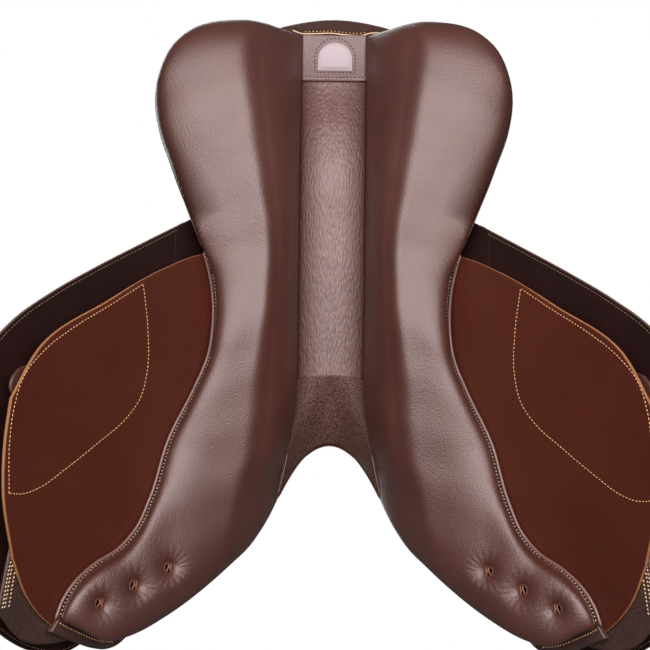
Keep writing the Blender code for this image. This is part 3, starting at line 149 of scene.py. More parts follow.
def fourSided(sideA, sideB, endA, endB, u, v):
    # points inside four border curves; the sides run along u
    a, b = smoothCurve(sideA, u)[:, None, :], smoothCurve(sideB, u)[:, None, :]
    e, f = smoothCurve(endA, v)[None], smoothCurve(endB, v)[None]
    uu, vv = u[:, None, None], v[None, :, None]
    corners = (1 - uu) * ((1 - vv) * a[0] + vv * b[0]) + uu * ((1 - vv) * a[-1] + vv * b[-1])
    return (1 - vv) * a + vv * b + (1 - uu) * e + uu * f - corners


def rimShares(count, rim):
    # shares crowded into round rims at both ends, and how far the thickness has grown there
    turn = np.linspace(0, math.pi / 2, 6)[:-1]
    inner = np.linspace(rim, 1 - rim, count)
    shares = np.concatenate([rim * (1 - np.cos(turn)), inner, 1 - rim * (1 - np.cos(turn[::-1]))])
    grown = np.concatenate([np.sin(turn), np.ones(count), np.sin(turn[::-1])])
    return shares, grown


def outwards(verts, faces):
    # signed volume: negative when the faces point in
    a, b, c, d = (verts[faces[:, i]] for i in range(4))
    return float(np.sum(np.cross(a, b) * c) + np.sum(np.cross(a, c) * d))


def makeMesh(name, verts, faces, look, slotName, body="saddle", side=1, flip=None, attributes=None):
    # a smooth mesh, mirrored for the side -1; flip turns its faces, which otherwise come to point out
    verts = np.reshape(verts, (-1, 3)) * np.array([side, 1, 1])
    flip = outwards(verts, faces) < 0 if flip is None else flip
    faces = faces[:, ::-1] if flip else faces
    mesh = bpy.data.meshes.new(name)
    mesh.vertices.add(len(verts))
    mesh.vertices.foreach_set("co", np.asarray(verts, np.float32).ravel())
    mesh.loops.add(faces.size)
    mesh.loops.foreach_set("vertex_index", faces.astype(np.int32).ravel())
    mesh.polygons.add(len(faces))
    mesh.polygons.foreach_set("loop_start", np.arange(0, faces.size, faces.shape[1], dtype=np.int32))
    mesh.update(calc_edges=True)
    mesh.polygons.foreach_set("use_smooth", np.ones(len(faces), bool))
    for key, values in (attributes or {}).items():
        mesh.attributes.new(key, "FLOAT", "POINT").data.foreach_set("value", np.asarray(values, np.float32))
    mesh.materials.append(looks[look])
    mesh.validate()
    piece = bpy.data.objects.new(name, mesh)
    bpy.context.scene.collection.objects.link(piece)
    if body:
        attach(piece, body)
    return piece


def quads(index):
    # the four corners of each cell of a grid of vertex numbers
    return np.stack([index[:-1, :-1], index[1:, :-1], index[1:, 1:], index[:-1, 1:]], -1).reshape(-1, 4)


def gridFaces(rows, columns, closeRows=False, closeColumns=False):
    index = np.arange(rows * columns).reshape(rows, columns)
    if closeRows:
        index = np.concatenate([index, index[:1]], 0)
    if closeColumns:
        index = np.concatenate([index, index[:, :1]], 1)
    return quads(index)


def repeatedFaces(rows, columns, count):
    # the faces of a number of equal tubes, one after another
    one = gridFaces(rows, columns, False, True)
    return (one[None] + (np.arange(count) * rows * columns)[:, None, None]).reshape(-1, 4)


def closedPair(name, low, high, look, slotName, body="saddle", side=1, edge=None):
    # two grids that meet along their rims make one closed leather piece
    rows, columns = low.shape[:2]
    count = rows * columns
    index = np.arange(count).reshape(rows, columns)
    upper = index + count
    for line in (np.s_[0, :], np.s_[-1, :], np.s_[:, 0], np.s_[:, -1]):
        upper[line] = index[line]
    faces = np.concatenate([quads(index), quads(upper)[:, ::-1]])
    verts = np.concatenate([low.reshape(-1, 3), high.reshape(-1, 3)])
    used = np.zeros(len(verts), bool)
    used[faces] = True
    renumber = np.cumsum(used) - 1
    attributes = None
    if edge is not None:
        outside = np.arange(len(verts)) >= count
        attributes = {"edge": np.concatenate([edge.ravel(), edge.ravel()])[used], "outside": outside[used]}
    return makeMesh(name, verts[used], renumber[faces], look, slotName, body, side, None, attributes)


def leatherSheet(name, borders, look, slotName, near, far, side=1, body="saddle", place=onFlap,
                 counts=(90, 60), rim=None, edgeScale=None):
    # a sheet with round edges between the offsets near and far, inside four borders given as (down, along)
    mid, half = (near + far) / 2, (far - near) / 2
    rim = half if rim is None else rim
    lengths = [float(lengthAlong(np.array(border, float))[-1]) for border in borders]
    u, growU = rimShares(counts[0], rim / max(lengths[0], lengths[1]))
    v, growV = rimShares(counts[1], rim / max(lengths[2], lengths[3]))
    plan = fourSided(*borders, u, v)
    grown = growU[:, None] * growV[None, :]
    fromSides = np.minimum(u, 1 - u)[:, None] * lengths[0]
    fromRim = np.minimum(fromSides, np.minimum(v, 1 - v)[None, :] * lengths[2])
    low = place(plan[..., 0], plan[..., 1], mid - half * grown)
    high = place(plan[..., 0], plan[..., 1], mid + half * grown)
    edge = fromRim if edgeScale is None else fromRim * edgeScale(plan)
    return closedPair(name, low, high, look, slotName, body, side, edge)


def frames(path, up):
    # along, sideways and outward directions at each point of a path
    ahead = unit(np.gradient(path, axis=0))
    across = unit(np.cross(ahead, up))
    return ahead, across, np.cross(across, ahead)


def turnsOf(count):
    return np.linspace(0, 2 * math.pi, count + 1)[:-1]


def ringOf(across, out, sides):
    turns = turnsOf(sides)
    return across[:, None] * np.cos(turns)[None, :, None] + out[:, None] * np.sin(turns)[None, :, None]


def tubeAlong(name, path, up, radius, look, slotName, body="saddle", side=1, sides=12, closed=False):
    # a round cord swept along the path, its ends drawn in
    ahead, across, out = frames(path, up)
    size = np.ones(len(path)) * radius
    if not closed:
        size[0] = size[-1] = radius * 0.1
    verts = path[:, None] + ringOf(across, out, sides) * size[:, None, None]
    return makeMesh(name, verts, gridFaces(len(path), sides, closed, True), look, slotName, body, side)


def evenly(path, step, start=0.0, read=None):
    # the path, or what goes with its points, read again at even steps of its length
    along = lengthAlong(path)
    wanted = np.arange(start, along[-1], step)
    read = path if read is None else read
    return np.stack([np.interp(wanted, along, read[:, i]) for i in range(read.shape[1])], 1)


threadRings, threadSides = 7, 6


def stitchRow(name, path, up, stitch, look, slotName, body="saddle", side=1):
    # a row of short thread loops: each is a bent capsule that dips into the leather at both ends
    centres = evenly(path, stitch["pitch"], stitch["pitch"] / 2)
    ups = evenly(path, stitch["pitch"], stitch["pitch"] / 2, np.broadcast_to(up, path.shape))
    ahead, across, out = frames(centres, ups)
    ahead = unit(ahead + across * stitch.get("slant", 0.0))
    along = np.linspace(-1, 1, threadRings)
    thick = stitch["radius"] * np.sqrt(np.clip(1 - np.abs(along) ** 3, 0.02, 1))
    lift = stitch["radius"] * (0.55 - 0.9 * np.abs(along) ** 2.5)
    line = along[None, :, None] * ahead[:, None] * stitch["length"] / 2 + out[:, None] * lift[None, :, None]
    ring = ringOf(across, out, threadSides)
    verts = centres[:, None, None] + line[:, :, None] + ring[:, None] * thick[None, :, None, None]
    faces = repeatedFaces(threadRings, threadSides, len(centres))
    return makeMesh(name, verts, faces, look, slotName, body, side)


def flapPath(points, offset, count=400):
    # a curve of (down, along) points laid on the sweat flap, with the directions that stand out from it
    line = smoothCurve(points, np.linspace(0, 1, count))
    path = onFlap(line[:, 0], line[:, 1], offset)
    return path, unit(onFlap(line[:, 0], line[:, 1], offset + 0.01) - path)


sides = ((1, "left"), (-1, "right"))
upwards, downwards, forwards = np.array([0, 0, 1.0]), np.array([0, 0, -1.0]), np.array([0.0, -1.0, 0.0])
print("helpers ready")


def feed(node, values):
    # gives each named input its number or colour, or a link where the value is another node's output
    for key, value in values.items():
        if isinstance(value, bpy.types.NodeSocket):
            node.id_data.links.new(value, node.inputs[key])
        else:
            node.inputs[key].default_value = value
    return node


def addNode(tree, kind, values, **settings):
    node = tree.nodes.new("ShaderNode" + kind)
    for key, value in settings.items():
        setattr(node, key, value)
    return feed(node, values)


def newMaterial(name):
    material = bpy.data.materials.new(name)
    material.use_nodes = True
    return material, material.node_tree, material.node_tree.nodes["Principled BSDF"]


skin = {
    "mottleDetail": 5.0, "mottleFrom": 0.25, "mottleTo": 0.62, "fineScale": 2.6, "fineDetail": 4.0, "fineShare": 0.45,
    "bump": 0.65, "creviceFrom": 0.40, "creviceTo": 0.95, "creviceTone": 0.35, "coatRough": 0.45,
}


def leather(name, colour, second, rough, grain, depth, mottle=22.0, stretch=(1, 1, 1), level=0.8, coat=0.0,
            edge=None, creased=0.35, outside=None):
    # two leather tones mixed by a slow noise; grain from cells and a fine noise, both on object coordinates
    material, tree, shader = newMaterial(name)
    plainCoords = addNode(tree, "TexCoord", {}).outputs["Object"]
    coords = addNode(tree, "Mapping", {"Vector": plainCoords, "Scale": stretch}).outputs["Vector"]
    slow = addNode(tree, "TexNoise", {"Vector": plainCoords, "Scale": mottle, "Detail": skin["mottleDetail"]})
    ramp = addNode(tree, "ValToRGB", {"Fac": slow.outputs["Fac"]})
    for element, tone, position in zip(ramp.color_ramp.elements, (second, colour), ("mottleFrom", "mottleTo")):
        element.color, element.position = (*tone, 1), skin[position]
    cells = addNode(tree, "TexVoronoi", {"Vector": coords, "Scale": grain})
    fine = addNode(tree, "TexNoise", {"Vector": coords, "Scale": grain * skin["fineScale"], "Detail": skin["fineDetail"]})
    both = {0: fine.outputs["Fac"], 1: skin["fineShare"], 2: cells.outputs["Distance"]}
    height = addNode(tree, "Math", both, operation="MULTIPLY_ADD").outputs["Value"]
    bump = addNode(tree, "Bump", {"Strength": skin["bump"], "Distance": depth, "Height": height}, invert=True)
    crevice = {"Value": height, "From Min": skin["creviceFrom"], "From Max": skin["creviceTo"], "To Max": creased}
    factor = addNode(tree, "MapRange", crevice).outputs["Result"]
    dark = (*(skin["creviceTone"] * tone for tone in second), 1)
    blend = {"Factor": factor, "A": ramp.outputs["Color"], "B": dark}
    base = addNode(tree, "Mix", blend, data_type="RGBA").outputs["Result"]
    values = {"Roughness": rough, "Specular IOR Level": level, "Coat Weight": coat, "Coat Roughness": skin["coatRough"]}
    if outside:  # the far face of a sheet has a tone of its own
        far = addNode(tree, "Attribute", {}, attribute_name="outside")
        blend = {"Factor": far.outputs["Fac"], "A": base, "B": (*outside, 1)}
        base = addNode(tree, "Mix", blend, data_type="RGBA").outputs["Result"]
    if edge:  # another tone, and another shine where it has a level, close to a sheet's rim: for cut edges their own colour, for the panel seams and the linings' sides painted shade
        near = addNode(tree, "Attribute", {}, attribute_name="edge").outputs["Fac"]
        span = {"Value": near, "From Min": edge["from"], "From Max": edge["to"], "To Min": 1.0, "To Max": 0.0}
        close = addNode(tree, "MapRange", span).outputs["Result"]
        blend = {"Factor": close, "A": base, "B": (*edge["colour"], 1)}
        base = addNode(tree, "Mix", blend, data_type="RGBA").outputs["Result"]
    feed(shader, {"Base Color": base, "Normal": bump.outputs["Normal"], **values})
    if edge and "level" in edge:
        for key, usual, there in (("Specular IOR Level", level, edge["level"]), ("Coat Weight", coat, 0.0)):
            if usual:
                shift = addNode(tree, "Math", {0: close, 1: there - usual, 2: usual}, operation="MULTIPLY_ADD")
                feed(shader, {key: shift.outputs["Value"]})
    return material


def plain(name, colour, rough, metallic=0.0, sheen=0.0, bumpScale=0.0, bumpDepth=0.0, level=0.8):
    material, tree, shader = newMaterial(name)
    values = {"Base Color": (*colour, 1), "Roughness": rough, "Metallic": metallic, "Specular IOR Level": level}
    feed(shader, {**values, "Sheen Weight": sheen})
    if bumpScale:
        coords = addNode(tree, "TexCoord", {}).outputs["Object"]
        noise = addNode(tree, "TexNoise", {"Scale": bumpScale, "Vector": coords})
        bump = addNode(tree, "Bump", {"Distance": bumpDepth, "Height": noise.outputs["Fac"]})
        feed(shader, {"Normal": bump.outputs["Normal"]})
    return material


goldEdge = {"from": 0.0003, "to": 0.0012, "colour": (0.368, 0.173, 0.0672)}
darkEdge = {"from": 0.0002, "to": 0.0010, "colour": (0.0672, 0.0288, 0.0176)}
rawEdge = {"from": 0.0002, "to": 0.0009, "colour": (0.136, 0.0928, 0.0672)}
# painted shade: seamShade gives a near-black, shine-free tone close to the panel's outer seam, standing for the shade
# in the crease there
seamShade = {"from": 0.0008, "to": 0.0052, "colour": (0.0352, 0.0125, 0.0080), "level": 0.00}
shadeEdge = {"from": 0.0020, "to": 0.0250, "colour": (0.0736, 0.0320, 0.0256), "level": 0.19}
# painted shade: headEdgeShade darkens and dulls the head lining's sides, standing for the shade the panel walls cast on
# them
headEdgeShade = {"from": 0.0010, "to": 0.0180, "colour": (0.0480, 0.0200, 0.0136), "level": 0.16}
# the outer flap's inner face and root: the flap's dark leather made darker still, partly its own tone and partly
# painted shade of the gap between flap and sweat flap; the outside face keeps a plain brown
outerFlapShadedTones = ((0.0176, 0.0058, 0.0051), (0.0131, 0.0043, 0.0038), 0.50, 1100, 0.00010)
outerFlapFace = {"level": 0.16, "outside": (0.0800, 0.0280, 0.0184)}
pores = {"bumpScale": 900, "bumpDepth": 0.0001}
looks = {
    "panel": leather("panel leather", (0.0900, 0.0232, 0.0126), (0.0700, 0.0170, 0.0092), 0.47, 700, 0.00036,
                     level=1.00, coat=0.40, edge=seamShade),
    "facing": leather("facing leather", (0.0672, 0.0304, 0.0256), (0.0496, 0.0224, 0.0189), 0.42, 900, 0.00015,
                      level=0.72),
    "lining": leather("lining leather", (0.195, 0.102, 0.0912), (0.128, 0.0624, 0.0528), 0.45, 520, 0.00095,
                      stretch=(1, 0.28, 1), level=1.00, edge=shadeEdge, creased=0.5),
    "head": leather("head lining leather", (0.179, 0.0896, 0.0736), (0.118, 0.0560, 0.0448), 0.50, 560, 0.00110,
                    level=0.40, edge=headEdgeShade, creased=0.85),
    "tab": leather("tab leather", (0.141, 0.0720, 0.0640), (0.106, 0.0512, 0.0448), 0.42, 700, 0.00026, level=0.80),
    "sweat": leather("sweat flap leather", (0.0832, 0.0160, 0.0067), (0.0672, 0.0125, 0.0054), 0.42, 1500, 0.00004,
                     mottle=14, level=0.40, edge=goldEdge),
    "flapInner": leather("outer flap leather", *outerFlapShadedTones, edge=rawEdge, **outerFlapFace),
    "flapRoot": leather("flap root leather", *outerFlapShadedTones, **outerFlapFace),
    "seat": leather("seat leather", (0.0880, 0.0304, 0.0200), (0.0656, 0.0216, 0.0144), 0.42, 1300, 0.00008, coat=0.32),
    "block": leather("block leather", (0.0640, 0.0296, 0.0208), (0.0416, 0.0184, 0.0128), 0.46, 620, 0.00060,
                     creased=0.6),
    "strap": leather("strap leather", (0.0720, 0.0240, 0.0144), (0.0512, 0.0160, 0.0104), 0.44, 1500, 0.00004,
                     edge=darkEdge),
    "welt": plain("welt leather", (0.168, 0.0896, 0.0768), 0.36, **pores),
    "tan": plain("tan leather", (0.240, 0.0960, 0.0480), 0.45, **pores),
    "darkWelt": plain("dark welt leather", (0.0560, 0.0200, 0.0136), 0.42, **pores),
    "cream": plain("cream thread", (0.720, 0.528, 0.336), 0.60),
    "gold": plain("gold thread", (0.640, 0.384, 0.160), 0.60),
    "darkThread": plain("dark thread", (0.0480, 0.0192, 0.0136), 0.60),
    "tuft": plain("tuft thread", (0.192, 0.0704, 0.0368), 0.60),
    "tuftLip": plain("tuft leather", (0.0832, 0.0288, 0.0160), 0.55, **pores, level=0.40),
    # painted shade: a near-black, almost matt cord along the panel stitches stands for the shade in the stitch groove
    "groove": plain("painted stitch-groove shade", (0.0192, 0.0072, 0.0048), 0.60, level=0.16),
    "dimThread": plain("dim thread", (0.168, 0.109, 0.0736), 0.60),
    "badge": plain("badge plate", (0.339, 0.288, 0.320), 0.36),
    "steel": plain("polished steel", (0.850, 0.850, 0.850), 0.24, 1.0),
    "tree": plain("moulded tree", (0.0480, 0.0480, 0.0528), 0.50, bumpScale=1200, bumpDepth=0.0001),
    "web": plain("woven webbing", (0.850, 0.800, 0.640), 0.85, bumpScale=1500, bumpDepth=0.0004),
    "foam": plain("seat foam", (0.850, 0.850, 0.768), 0.95, bumpScale=2500, bumpDepth=0.0003),
    "loop": plain("loop pile", (0.0384, 0.0176, 0.0144), 0.95, sheen=0.5, bumpScale=2600, bumpDepth=0.0006),
    # painted shade: a near-black, almost matt colour for the tufts' shallow wells and the flat discs on the straps,
    # standing for the shade inside a hole
    "holeShade": plain("painted shade in holes", (0.0064, 0.0040, 0.0032), 0.9, level=0.08),
}


def paint(material, *names):
    for name in names:
        data = nodes[name].data
        data.materials.clear()
        data.materials.append(material)


paint(looks["tree"], "tree")
paint(looks["foam"], "seat_foam")
paint(looks["web"], "seat_webbing", "girth_web_front", "girth_web_rear")
paint(looks["steel"], "gullet_arch", "rail_spring_left", "rail_spring_right")
for _, word in sides:
    paint(looks["steel"], "stirrup_bar_" + word, "bar_catch_" + word, "catch_pin_" + word, "dee_ring_" + word)
    paint(looks["steel"], "saddle_nail_front_" + word, "saddle_nail_rear_" + word)
    paint(looks["strap"], "dee_chape_" + word, "buckle_guard_" + word)
    paint(looks["loop"], "loop_patch_" + word)
print("materials ready")

# the camera, set early because the tufts are placed through it
view = {"place": (0.006, 0.0, -1.2), "lens": 70.0, "roll": math.radians(0.7), "focalPixels": 1264.0, "middle": 325.0}


def seenAt(points):
    # pixel columns and rows at which the camera sees points of the object's +X side
    offset = points - np.array(view["place"])
    flat = offset[..., :2] / offset[..., 2:] * view["focalPixels"]
    c, s = math.cos(view["roll"]), math.sin(view["roll"])
    return view["middle"] - np.stack([c * flat[..., 0] - s * flat[..., 1], s * flat[..., 0] + c * flat[..., 1]], -1)


panel = {
    "seam": [(0.180, -0.259), (0.171, -0.242), (0.157, -0.228), (0.137, -0.2165), (0.110, -0.206), (0.091, -0.191),
             (0.074, -0.163), (0.053, -0.109), (0.024, -0.062), (0.008, -0.030), (0.003, 0.000), (0.004, 0.030),
             (0.013, 0.064)],
    "lobeSide": [(0.137, 0.105), (0.156, 0.150), (0.170, 0.190), (0.174, 0.224), (0.167, 0.258)],
    "lobeRear": [(0.050, 0.2985), (0.070, 0.302), (0.095, 0.303), (0.120, 0.299), (0.140, 0.290), (0.156, 0.276)],
    "front": [(0.0505, -0.170), (0.075, -0.1953), (0.110, -0.2171), (0.148, -0.2429), (0.184, -0.2577), (0.213, -0.2605)],
    "inner": [-0.125, -0.100, -0.075, -0.050, 0.0, 0.15, 0.296],
    "rim": 0.0030, "depth": 0.0576, "lean": 0.726, "leanY": (-0.182, -0.142), "leanEnds": (0.80, 1.0),
    "tilt": 0.03, "tiltEnds": (-0.05, 0.5), "skew": 0.918,
    "powers": (1.60, 4.0), "powerEnds": (-0.45, 0.35), "blunt": (6.0, 4.5),
    # how far the roll's face follows the underframe
    "level": (0.045, 0.609), "levelY": (-0.200, -0.110), "levelFrom": 0.045,
    "seatedY": (-0.020, 0.080), "seatedGap": 0.0005, "flange": 0.0046, "flangeY": (0.040, 0.075),
    "widensY": -0.055, "widens": 1.6, "gap": 0.0011,
    "rows": 420, "rowsEven": 0.60, "columns": 118, "columnsEven": 0.30,
    "tufts": [(102.6, 604), (138.2, 586.7), (172, 568.4)],  # where the photograph's camera sees them, in pixels
}


def between(pair, share):
    return pair[0] + (pair[1] - pair[0]) * share


def gulletHalfWidth(y):
    # grows as a power of the distance in front of the waist
    frontX, frontY = panel["front"][0]
    ahead = np.clip((panel["widensY"] - np.asarray(y, float)) / (panel["widensY"] - frontY), 0.0, None)
    return between((under["gulletHalf"], frontX), ahead ** panel["widens"])


def crowded(count, plainShare):
    # shares from 0 to 1, crowded towards both ends
    t = np.linspace(0, 1, count)
    return plainShare * t + (1 - plainShare) * (1 - np.cos(math.pi * t)) / 2


def panelPlan(u, v):
    # the panel's four borders and the points between them
    inner = [(float(gulletHalfWidth(y)), y) for y in (panel["front"][0][1], *panel["inner"])]
    seam = np.array(panel["seam"])
    seam = np.stack([onFlap(seam[:, 0], 0.0, 0.0)[:, 0], seam[:, 1]], 1)
    outer = [tuple(p) for p in seam] + panel["lobeSide"]
    front = [inner[0], *panel["front"][1:], tuple(seam[0])]
    rear = [inner[-1], *panel["lobeRear"], panel["lobeSide"][-1]]
    return fourSided(inner, outer, front, rear, u, v)


def panelGrids():
    # superellipse bulge over the underframe: (1 - |2 v^skew - 1|^n)^(1/n) across, another along
    u, v = crowded(panel["rows"], panel["rowsEven"]), crowded(panel["columns"], panel["columnsEven"])
    plan = panelPlan(u, v)
    x, y = plan[..., 0], plan[..., 1]
    over = frameHeight(x, y)
    top = np.concatenate([plan, (over - panel["gap"])[..., None]], -1)
    widths = np.linalg.norm(plan[:, -1] - plan[:, 0], axis=1)
    flat = panel["flange"] / widths * (1 - ease(y[:, -1], *panel["flangeY"]))
    fromCrest = 2 * np.clip(v[None, :] / (1 - flat[:, None]), 0, 1) ** panel["skew"] - 1
    power = between(panel["powers"], ease(fromCrest, *panel["powerEnds"]))
    bulge = (1 - np.abs(fromCrest) ** power) ** (1 / power)
    power = np.where(u < 0.5, *panel["blunt"])
    ends = (1 - np.abs(2 * u - 1) ** power) ** (1 / power)
    standing = panel["depth"] + between(panel["level"], ease(y, *panel["levelY"])) * (over - panel["levelFrom"])
    seated = ease(y, *panel["seatedY"])
    depth = (1 - seated) * standing + seated * (over - panel["seatedGap"] - panel["rim"])
    share = 1 - (1 - under["rearShare"]) * ease(y, *under["flattenY"])
    radius = np.where(x < under["topX"], innerRadius, 1 / under["curl"])
    angle = np.arcsin(np.clip(math.sin(under["topSlope"]) + (x - under["topX"]) / radius, -1, 1)) * share
    angle = angle * panel["tilt"] * ease(v, *panel["tiltEnds"])[None, :]
    forward = panel["lean"] * (1 - ease(y, *panel["leanY"])) * (1 - ease(v, *panel["leanEnds"]))[None, :]
    direction = np.stack([-np.sin(angle), -forward, -np.cos(angle)], -1)
    return top, direction, panel["rim"] + depth * bulge * ends[:, None]


def gridNormals(grid):
    n = np.cross(np.gradient(grid, axis=0), np.gradient(grid, axis=1))
    return n / np.maximum(np.linalg.norm(n, axis=2), 1e-12)[..., None]


def rowLengths(grid, axis):
    step = np.linalg.norm(np.diff(grid, axis=axis), axis=2)
    zero = np.zeros_like(step[:1] if axis == 0 else step[:, :1])
    return np.concatenate([zero, np.cumsum(step, axis=axis)], axis=axis)


relief = {
    "pucker": 0.00038, "puckerWave": 0.0064, "puckerSway": (1.3, 61), "puckerAt": 0.0085, "puckerWidth": 0.0045,
    "gather": 0.00035, "gatherWave": 0.0090, "gatherSway": (1.1, 80), "gatherReach": 0.010, "gatherFrom": 0.0005,
    "lump": 0.0006, "lumpShare": 0.6, "lumpFades": (0.004, 0.030), "lumpWaves": ((95, 1.0), (71, 2.0)),
    "ripple": (0.6, 133, 60), "tuftFacing": -0.15, "barred": 1000,
    # how far up the lobes the panel's painted seam shade is widened
    "lobeShadeY": (0.060, 0.110), "lobeShadeShare": 0.88,
    "dimples": [(0.0050, 0.0056, 3), (0.0052, 0.0120, 2)],  # depth, radius and power of a tuft's two hollows
    "wrinkle": 0.00030, "wrinkles": 17, "wrinkleAt": 0.013, "wrinkleWidth": 0.006,
}


def swaying(along, wave, sway):
    # an uneven wave
    return np.sin(along * 2 * math.pi / wave + sway[0] * np.sin(along * sway[1]))


panelTop, panelDown, panelReach = panelGrids()
surface = panelTop + panelDown * panelReach[..., None]
normals = gridNormals(surface)
if np.mean(normals[..., 2]) > 0:
    normals = -normals
across = rowLengths(surface, 1)
toSeam = across[:, -1:] - across  # distance from the outer seam over the leather
along = rowLengths(surface[:, -1:], 0)  # distance along the outer seam
lengthwise = rowLengths(surface, 0)
toRear = lengthwise[-1:] - lengthwise
# puckers and gathers: short waves that fade away from the seams; lumps: slow waves of the wool flock
pucker = swaying(along, relief["puckerWave"], relief["puckerSway"])
pucker = pucker * np.exp(-(((toSeam - relief["puckerAt"]) / relief["puckerWidth"]) ** 2))
gathers = swaying(across, relief["gatherWave"], relief["gatherSway"])
gathers = gathers * np.exp(-((toRear / relief["gatherReach"]) ** 1.5)) * (toRear > relief["gatherFrom"])
x, y = surface[..., 0], surface[..., 1]
lumps = math.prod(np.sin(place * wave + start) for place, (wave, start) in zip((x, y), relief["lumpWaves"]))
lumps = lumps + relief["ripple"][0] * np.sin(y * relief["ripple"][1] + x * relief["ripple"][2])
lumps = ease(panelReach, *relief["lumpFades"]) * (1 + relief["lumpShare"] * lumps)
height = relief["pucker"] * pucker + relief["gather"] * gathers - relief["lump"] * lumps
seen = seenAt(surface)
tuftSpots = []
for number, wanted in enumerate(panel["tufts"]):
    hidden = normals[..., 2] > relief["tuftFacing"]
    miss = np.linalg.norm(seen - np.array(wanted), axis=2) + relief["barred"] * hidden
    row, column = np.unravel_index(np.argmin(miss), miss.shape)
    r = np.linalg.norm(surface - surface[row, column], axis=2)
    turn = np.arctan2(x - x[row, column], y - y[row, column])
    wrinkles = np.sin(turn * relief["wrinkles"] + number)
    height += relief["wrinkle"] * wrinkles * np.exp(-(((r - relief["wrinkleAt"]) / relief["wrinkleWidth"]) ** 2))
    for depth, radius, power in relief["dimples"]:
        height -= depth * np.exp(-((r / radius) ** power))
    tuftSpots.append((row, column))
shaped = surface + normals * height[..., None]
shaped[:, 0], shaped[:, -1] = surface[:, 0], surface[:, -1]
shaped[0], shaped[-1] = surface[0], surface[-1]
rows, columns = shaped.shape[:2]
index = np.arange(rows * columns).reshape(rows, columns)
rim = np.concatenate([index[0, :], index[1:, -1], index[-1, -2::-1], index[-2:0:-1, 0]])
rimTop = rim + rows * columns
walls = np.stack([rim, np.roll(rim, -1), np.roll(rimTop, -1), rimTop], 1)
panelFaces = np.concatenate([quads(index), quads(index + rows * columns)[:, ::-1], walls])
seamShadeReach = (toSeam * (1 - relief["lobeShadeShare"] * ease(y, *relief["lobeShadeY"]))).ravel()  # the lobes' side wall is kept dark by painted shade: the seam's dark tone is spread far up it
seamShadeReach = {"edge": np.concatenate([seamShadeReach, np.ones(rows * columns)])}
for side, word in sides:
    verts = np.concatenate([shaped, panelTop])
    piece = makeMesh("panel_leather_" + word, verts, panelFaces, "panel", "panel_leather", "saddle", side, None, seamShadeReach)
    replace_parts(piece, "panel_" + word)
print("panels ready")

welt = {
    "radius": 0.0015, "inset": 0.0034, "rearInset": 0.0065, "out": 0.0004, "down": 0.0003, "step": 0.003,
    "flapEndY": 0.071, "stitchEndY": 0.068, "lobeRadius": 0.0008, "grooveShadeRadius": 0.0010, "grooveShadeSink": 0.0005,
    "stitch": {"pitch": 0.0034, "length": 0.0023, "radius": 0.00058, "slant": 0.35},
    "rearStitch": {"pitch": 0.0036, "length": 0.0026, "radius": 0.00030}, "rowsFrom": 4, "rearSkips": (6, 12),
}


def inFromRim(distances, wanted):
    # for each row, the place across the grid at which the distance from the rim is the wanted one
    return np.array([np.interp(wanted, line[::-1], np.arange(len(line))[::-1]) for line in distances])


def betweenColumns(grid, ups, at):
    # the grid's points at a place across each row, and the directions that stand out there
    low = np.floor(at).astype(int).clip(0, grid.shape[1] - 2)
    part = (at - low)[:, None]
    row = np.arange(len(grid))
    return grid[row, low] * (1 - part) + grid[row, low + 1] * part, ups[row, low]


borderRow = surface[:, -1]
outRow = unit(np.stack([np.gradient(borderRow[:, 1]), -np.gradient(borderRow[:, 0]), 0 * borderRow[:, 0]], 1))
if outRow[len(outRow) // 2, 0] < 0:
    outRow = -outRow
weltPath = evenly(borderRow + outRow * welt["out"] + np.array([0, 0, -welt["down"]]), welt["step"])
flapPart = weltPath[:, 1] < welt["flapEndY"]
stitchPath, stitchUp = betweenColumns(shaped, normals, inFromRim(toSeam, welt["inset"]))
seamRows = slice(welt["rowsFrom"], int(np.searchsorted(borderRow[:, 1], welt["stitchEndY"])))
stitchPath, stitchUp = stitchPath[seamRows], stitchUp[seamRows]
swapped = (np.swapaxes(shaped, 0, 1), np.swapaxes(normals, 0, 1))
rearRows = slice(welt["rearSkips"][0], -welt["rearSkips"][1])
rearPath, rearUp = (line[rearRows] for line in betweenColumns(*swapped, inFromRim(toRear.T, welt["rearInset"])))
for side, word in sides:
    ride = ("panel_leather", "saddle", side)
    tubeAlong("panel_welt_" + word, weltPath[flapPart], downwards, welt["radius"], "welt", *ride)
    tubeAlong("lobe_seam_" + word, weltPath[~flapPart], downwards, welt["lobeRadius"], "darkWelt", *ride)
    # a near-black cord half sunk along the stitch row: painted shade of the stitch groove
    groove = stitchPath - stitchUp * welt["grooveShadeSink"]
    tubeAlong("panel_groove_shade_" + word, groove, stitchUp, welt["grooveShadeRadius"], "groove", *ride)
    stitchRow("panel_stitches_" + word, stitchPath, stitchUp, welt["stitch"], "cream", *ride)
    stitchRow("panel_rear_stitches_" + word, rearPath, rearUp, welt["rearStitch"], "darkThread", *ride)

